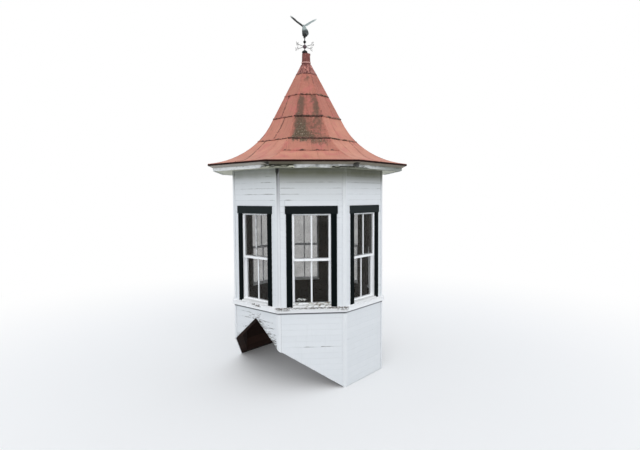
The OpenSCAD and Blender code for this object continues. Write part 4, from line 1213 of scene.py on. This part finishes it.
# Bird
# A bird of prey of beaten copper sheet with raised wings: a body in two soldered halves with chased feathers,
# a hooked beak, a fan of seven tail feathers, and wings of separate feathers riveted in rows below a rolled
# leading edge. It stands on the tube that turns on the mast's pin.
HEADING = np.radians(57)
PIN_TO_BIRD = 0.098 - 0.0015
bird_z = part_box("bird_tube")[0].z + PIN_TO_BIRD
BODY_L, BODY_R, LEAN = 0.232, 0.055, np.radians(21)
NODES["facing"] = ("NewGeometry", "Normal", {})


def patina(add):
    """Pale grey-green patina on what faces upwards and nearly black below: patina, and painted shade by the
    way the surface faces. Painted shade lies low on the body, on each leg and on the feathers' edges and
    bases, and a painted highlight lies on the outer feathers. It has little metallic shine left."""
    place = add("place")
    height, up = add("height", place), add("height", add("facing"))
    pale = add("mix", add("noise", place, 1 / 0.04, 5, 0.65), "#aab6b4", "#7d8b8a")
    dark = add("mix", add("noise", place, 1 / 0.03, 5, 0.65), "#23292b", "#121617")
    # Pale above and nearly black below by the way the surface faces: patina, and painted shade
    skin = add("mix", add("rise", up, -0.30, 0.35), dark, pale)
    # Painted shade low on the body and on each leg
    legs = band(add, height, bird_z - 0.036, bird_z - 0.028, bird_z + 0.070, bird_z + 0.120)
    # The feathers' painted shade, and the painted highlight on the outer feathers
    layers = (legs, 0.9, "#181c1d"), (add("grime"), 0.8, "#15191a"), (add("wear"), 0.85, "#c6cfcf")
    for number, most, colour in layers:
        skin = add("mix", add("times", number, most), skin, colour)
    beaten = add("noise", place, 1 / 0.012, 4, 0.55)
    return {"Base Color": skin, "Normal": add("bump", 0.5, 0.002, None, beaten)}


copper = surface("weathered copper sheet", patina, Roughness=0.65, Metallic=0.15)


def on_bird(p):
    """Points of the bird, drawn facing +X about the mast's axis from the body's foot, in their place."""
    x, y, z = np.moveaxis(np.asarray(p), -1, 0)
    c, s = np.cos(HEADING), np.sin(HEADING)
    return mast + np.stack([x * c - y * s, x * s + y * c, z + bird_z], -1)


def tube(path, radius, n, aside, deep=1.0, relief=None, grime=0.0):
    """A closed tube: rings of n points round each point of the path, in the plane of aside and of what stands
    square to it and to the path, deep times as wide that way, with a flat face on each end."""
    path, radius = np.asarray(path, float), np.asarray(radius, float)[:, None]
    way = np.gradient(path, axis=0)
    way /= np.linalg.norm(way, axis=1)[:, None]
    side = aside - (way @ np.asarray(aside, float))[:, None] * way
    side /= np.linalg.norm(side, axis=1)[:, None]
    third = np.cross(way, side)
    t = np.linspace(0, 2 * np.pi, n, endpoint=False)
    r = radius * (1 if relief is None else 1 + relief(np.linspace(0, 1, len(path))[:, None], t))
    ring = side[:, None] * (r * np.cos(t))[..., None] + third[:, None] * (deep * r * np.sin(t))[..., None]
    quads = grid_quads(len(path), n, True)
    ends = np.stack([np.arange(n)[::-1], (len(path) - 1) * n + np.arange(n)])
    return {"mesh": (on_bird((path[:, None] + ring).reshape(-1, 3)), [quads, ends]), "grime": grime}


def feather(base, along, across, normal, length, width, bend=0.0, lift=0.0, rubbed=0.0):
    """A feather cut from sheet: u runs from quill to tip and v from edge to edge. The width swells over the
    first third, holds, and closes in a round tip; the web falls off to both sides of the quill. Its edges and
    base are darker as painted shade, and its outer part is lighter as a painted highlight, by the amount of
    its last argument."""
    u, v = np.linspace(0, 1, 8)[:, None, None], np.linspace(-1, 1, 5)[None, :, None]
    tip = np.sqrt(np.clip(1 - (u / 1.003) ** 8, 0.01, 1))
    half = 0.5 * width * (0.5 + 0.5 * np.minimum(u / 0.35, 1)) * tip
    fall = -0.14 * width * v ** 2 + 0.0010 * np.exp(-(v / 0.2) ** 2)
    p = base + along * length * u + across * half * v + normal * (lift * (1 - 0.5 * u) + bend * u ** 2 + fall)
    u, v = u[..., 0], v[..., 0]
    return {
        "front": on_bird(p), "back": on_bird(p - normal * 0.0014),
        # Painted shade on the edges and at the base, and a painted highlight on the outer part
        "grime": 0.5 * np.abs(v) ** 6 + 0.3 * (1 - u), "wear": rubbed * np.clip((u - 0.55) / 0.2, 0, 1),
    }


# The trunk: places along it, in body lengths from its foot, and its radius at some of them in millimetres
s = np.concatenate([[-0.125, -0.118, -0.105, -0.085, -0.055], np.linspace(-0.02, 0.86, 28)])
trunk = 0.001 * np.interp(
    s, [-0.125, -0.118, -0.105, -0.085, -0.055, 0.02, 0.28, 0.45, 0.60, 0.72, 0.80, 0.86],
    [12, 24, 34, 43, 50, 55, 55, 52, 49, 44, 37, 28]
)
neck_x = 0.86 * BODY_L * np.sin(LEAN) - 0.6 * BODY_R
forward = np.interp(s, [-0.125, 0.0, 0.1, 0.86], [-0.014, -0.021, -0.025, neck_x])
spine = np.stack([forward, 0 * s, s * BODY_L * np.cos(LEAN)], 1)
head = np.array([
    [0.0485, 0, 0.203], [0.052, 0, 0.211], [0.0555, 0, 0.219], [0.0590, 0, 0.2275], [0.0615, 0, 0.2350],
    [0.0628, 0, 0.2395]
])
head_r = np.array([0.0262, 0.0268, 0.0262, 0.0225, 0.0145, 0.003])


def chased(s, t):
    """Feathers chased into the body in rows of scallops, each row half a feather round from the last."""
    row = 17 * s
    scallop = np.abs(np.sin(6 * t + 0.5 * np.pi * (np.floor(row) % 2)))
    return 0.045 * (np.mod(row, 1) - 0.5) * (0.4 + 0.6 * scallop)


LEG = np.array([(0.0, 0.024, 0.040), (0.0, 0.023, 0.010), (-0.001, 0.018, -0.014), (0.0, 0.013, -0.036)])
bird = [
    tube(np.concatenate([spine, head]), np.concatenate([trunk, head_r]), 36, (0, 1, 0), relief=chased),
    tube(
        [(0.070, 0, 0.214), (0.084, 0, 0.2145), (0.097, 0, 0.211), (0.105, 0, 0.2035), (0.107, 0, 0.194)],
        [0.0115, 0.0095, 0.0068, 0.0040, 0.0012], 12, (0, 1, 0), 1.25, grime=0.5
    )
]
for y in (-1, 1):
    bird.append(tube(
        LEG * (1, y, 1), [0.028, 0.025, 0.013, 0.005], 12, (1, 0, 0), grime=0.1
    ))
    for toe in np.radians([-35, 0, 35, 180]):
        c, d = np.cos(toe), np.sin(toe)
        claw = np.outer([0, 0.012, 0.021, 0.024], (c, d, 0)) + np.outer([0, 0.001, -0.004, -0.012], (0, 0, 1))
        bird.append(tube(
            claw + (0.0, 0.013 * y, -0.037), [0.0045, 0.0042, 0.0032, 0.0010], 8, (-d, c, 0.01), grime=0.1
        ))
DROP, ASIDE = np.radians(70), np.radians(10)
TAIL_L, TAIL_W = 0.158, 0.023
back = np.array([-np.cos(ASIDE), -np.sin(ASIDE), 0])
tail_way, tail_up = back * np.cos(DROP) - (0, 0, np.sin(DROP)), back * np.sin(DROP) + (0, 0, np.cos(DROP))
beside = np.cross(tail_up, tail_way)
for k, fan in enumerate(np.radians([-5, 5, -3.4, 3.4, -1.7, 1.7, 0])):
    way = tail_way * np.cos(fan) + beside * np.sin(fan)
    base = np.array([-0.045, -0.024, 0.120]) + beside * 0.25 * np.sin(fan)
    length = TAIL_L - 0.045 * (fan / 0.0873) ** 2
    bird.append(feather(base, way, np.cross(tail_up, way), tail_up, length, TAIL_W, 0.006, 0.0012 * k, 0.1))
bird_piece = piece("feathered_bird", bird, copper, body="bird", smooth=True)
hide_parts("bird_body")

RISE, SWEEP = np.radians([37, 90 - 21])
WING_L = 0.350
SHOULDER = np.array([0.6 * (BODY_L * np.sin(LEAN) - 0.6 * BODY_R), 0.016, 0.86 * BODY_L])
# Rows of feathers: how many, and for number k, a share f of the way along the row: place out along the wing,
# in wing lengths, and forward, degrees turned back from the span, length, width, bend and lift
FEATHER_ROWS = [
    (9, lambda k, f: (
        0.60 - 0.02 * k, 0.028 - 0.006 * f, 9 + 66 * f ** 0.9,
        0.118 * (1 - f) ** 0.9 + 0.066 - 0.060 * (1 - f) ** 8, 0.026, 0.004 * (1 - f), 0.0006 * k
    )),
    (11, lambda k, f: (0.52 - 0.45 * f, 0.024, 76 + 10 * f, 0.066 + 0.010 * f, 0.027, 0.0, 0.002)),
    (15, lambda k, f: (
        0.80 - 0.76 * f, 0.034 - 0.010 * (f < 0.15), 50 + 32 * f ** 0.5, 0.040, 0.026, 0.0, 0.0045
    )),
    (17, lambda k, f: (
        0.84 - 0.80 * f, 0.042 - 0.016 * max(0, 1 - f / 0.25), 50 + 32 * f ** 0.5, 0.025, 0.022, 0.0, 0.0065
    )),
]
# The leading edge: places out along the wing, in wing lengths, forward of its line, and radii
EDGE_OUT = np.array([-0.02, 0.15, 0.35, 0.55, 0.72, 0.86, 0.93])
EDGE_AHEAD = np.array([0.036, 0.044, 0.0455, 0.043, 0.034, 0.022, 0.014])
EDGE_R = [0.0130, 0.0115, 0.0100, 0.0085, 0.0065, 0.0045, 0.0015]
wings = []
for y in (1, -1):
    mirror = np.array([1, y, 1])
    span = np.array([np.cos(RISE) * np.cos(SWEEP), np.cos(RISE) * np.sin(SWEEP), np.sin(RISE)]) * mirror
    level = np.array([np.sin(SWEEP), -np.cos(SWEEP), 0]) * mirror
    above = np.cross(span, level) * -y
    above *= np.sign(above[2])
    pitch = np.radians(2.5 - 11.5 * y)
    front, up = level * np.cos(pitch) + above * np.sin(pitch), above * np.cos(pitch) - level * np.sin(pitch)
    root = SHOULDER * mirror
    for count, row in FEATHER_ROWS:
        for k in range(count):
            out, ahead, turn, *size = row(k, k / (count - 1))
            way = span * np.cos(np.radians(turn)) - front * np.sin(np.radians(turn))
            base = root + span * WING_L * out + front * ahead
            wings.append(feather(base, way, np.cross(up, way), up, *size, 1.0 - 0.4 * (y < 0)))
    path = root + np.outer(EDGE_OUT * WING_L, span) + np.outer(EDGE_AHEAD, front) + 0.002 * up
    wings.append(tube(path, EDGE_R, 12, front, 0.9))
wing_piece = piece("feathered_wings", wings, copper, body="bird", smooth=True)
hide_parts("bird_wings")

# Studio
# A pale floor and backdrop, an even light from all round that is brighter low down, and one broad, soft lamp
# from behind the camera. The floor is duller to the light it throws back on the object than to the eye.
FLOOR_R, FLOOR_DROP = 60, 0.002
FADE_FROM, FADE_TO = 4.0, 13.0
RAYS = ("Camera", "Glossy", "Transmission")
NODES.update({
    "direction": ("TexCoord", "Generated", {}), "background": ("Background", 0, {}),
    "diffuse": ("BsdfDiffuse", 0, {}), "light": ("Emission", 0, {}), "either": ("MixShader", 0, {}),
    "floor output": ("OutputMaterial", 0, {}), "sky output": ("OutputWorld", 0, {}),
    **{ray: ("LightPath", f"Is {ray} Ray", {}) for ray in RAYS},
})


def bare_tree(owner):
    """The node tree of a material or world, emptied, as the first argument of add."""
    owner.use_nodes = True
    owner.node_tree.nodes.clear()
    return partial(add, owner.node_tree)


floor_paint = bpy.data.materials.new("pale studio floor")
add_floor = bare_tree(floor_paint)
seen = add_floor("most", *[add_floor(ray) for ray in RAYS])
far = add_floor("rise", add_floor("length", add_floor("place")), FADE_FROM, FADE_TO)
shown = add_floor("either", far, add_floor("diffuse", "#f4f4f4"), add_floor("light", "#ffffff", 1.0))
add_floor("floor output", add_floor("either", seen, add_floor("diffuse", "#a9abad"), shown))
t = np.linspace(0, 2 * np.pi, 96, endpoint=False)
mesh = bpy.data.meshes.new("studio_floor")
mesh.from_pydata(polar(FLOOR_R, t, -FLOOR_DROP).tolist(), [], [list(range(96))])
mesh.materials.append(floor_paint)
floor = bpy.data.objects.new("studio_floor", mesh)
bpy.context.scene.collection.objects.link(floor)

world = bpy.data.worlds.new("even sky")
bpy.context.scene.world = world
add_sky = bare_tree(world)
seen = add_sky("most", *[add_sky(ray) for ray in RAYS])
glow = add_sky("rise", add_sky("height", add_sky("direction")), 0.0, 0.9, 1.55, 0.78)
even = add_sky("background", (0.94, 0.965, 1.0, 1.0), glow)
white = add_sky("background", (1.0, 1.0, 1.0, 1.0), 1.0)
add_sky("sky output", add_sky("either", seen, even, white))

sun = bpy.data.objects.new("soft_lamp", bpy.data.lights.new("soft_lamp", "SUN"))
sun.data.energy = 0.62
sun.data.angle = np.radians(60)
sun.data.color = (1.0, 0.98, 0.95)
sun.rotation_mode = "QUATERNION"
sun.rotation_quaternion = Vector((0.55, 0.72, -0.42)).to_track_quat("-Z", "Y")
bpy.context.scene.collection.objects.link(sun)

# Camera
# Where the photograph was taken from: 9.7 m off to the southwest and 3.5 m up, looking 3.4 degrees down. Its
# place, direction and focal length in pixels were fitted to the octagon's corners.
EYE = Vector((-7.178, -6.461, 3.477))
AHEAD = Vector((0.7603, 0.6469, -0.0592)).normalized()
ROLL = -0.0054
FOCUS, FRAME_W = 458.61, 640
cam = bpy.data.objects.new("camera", bpy.data.cameras.new("camera"))
bpy.context.scene.collection.objects.link(cam)
cam.data.sensor_width = 36.0
cam.data.lens = FOCUS * cam.data.sensor_width / FRAME_W
aside = AHEAD.cross(Vector((0, 0, 1))).normalized()
turned = Matrix((aside, aside.cross(AHEAD), -AHEAD)).transposed() @ Matrix.Rotation(ROLL, 3, "Z")
cam.matrix_world = Matrix.Translation(EYE) @ turned.to_4x4()
cam.data.clip_end = 400
bpy.context.scene.camera = cam
bpy.context.scene.view_settings.view_transform = "Standard"
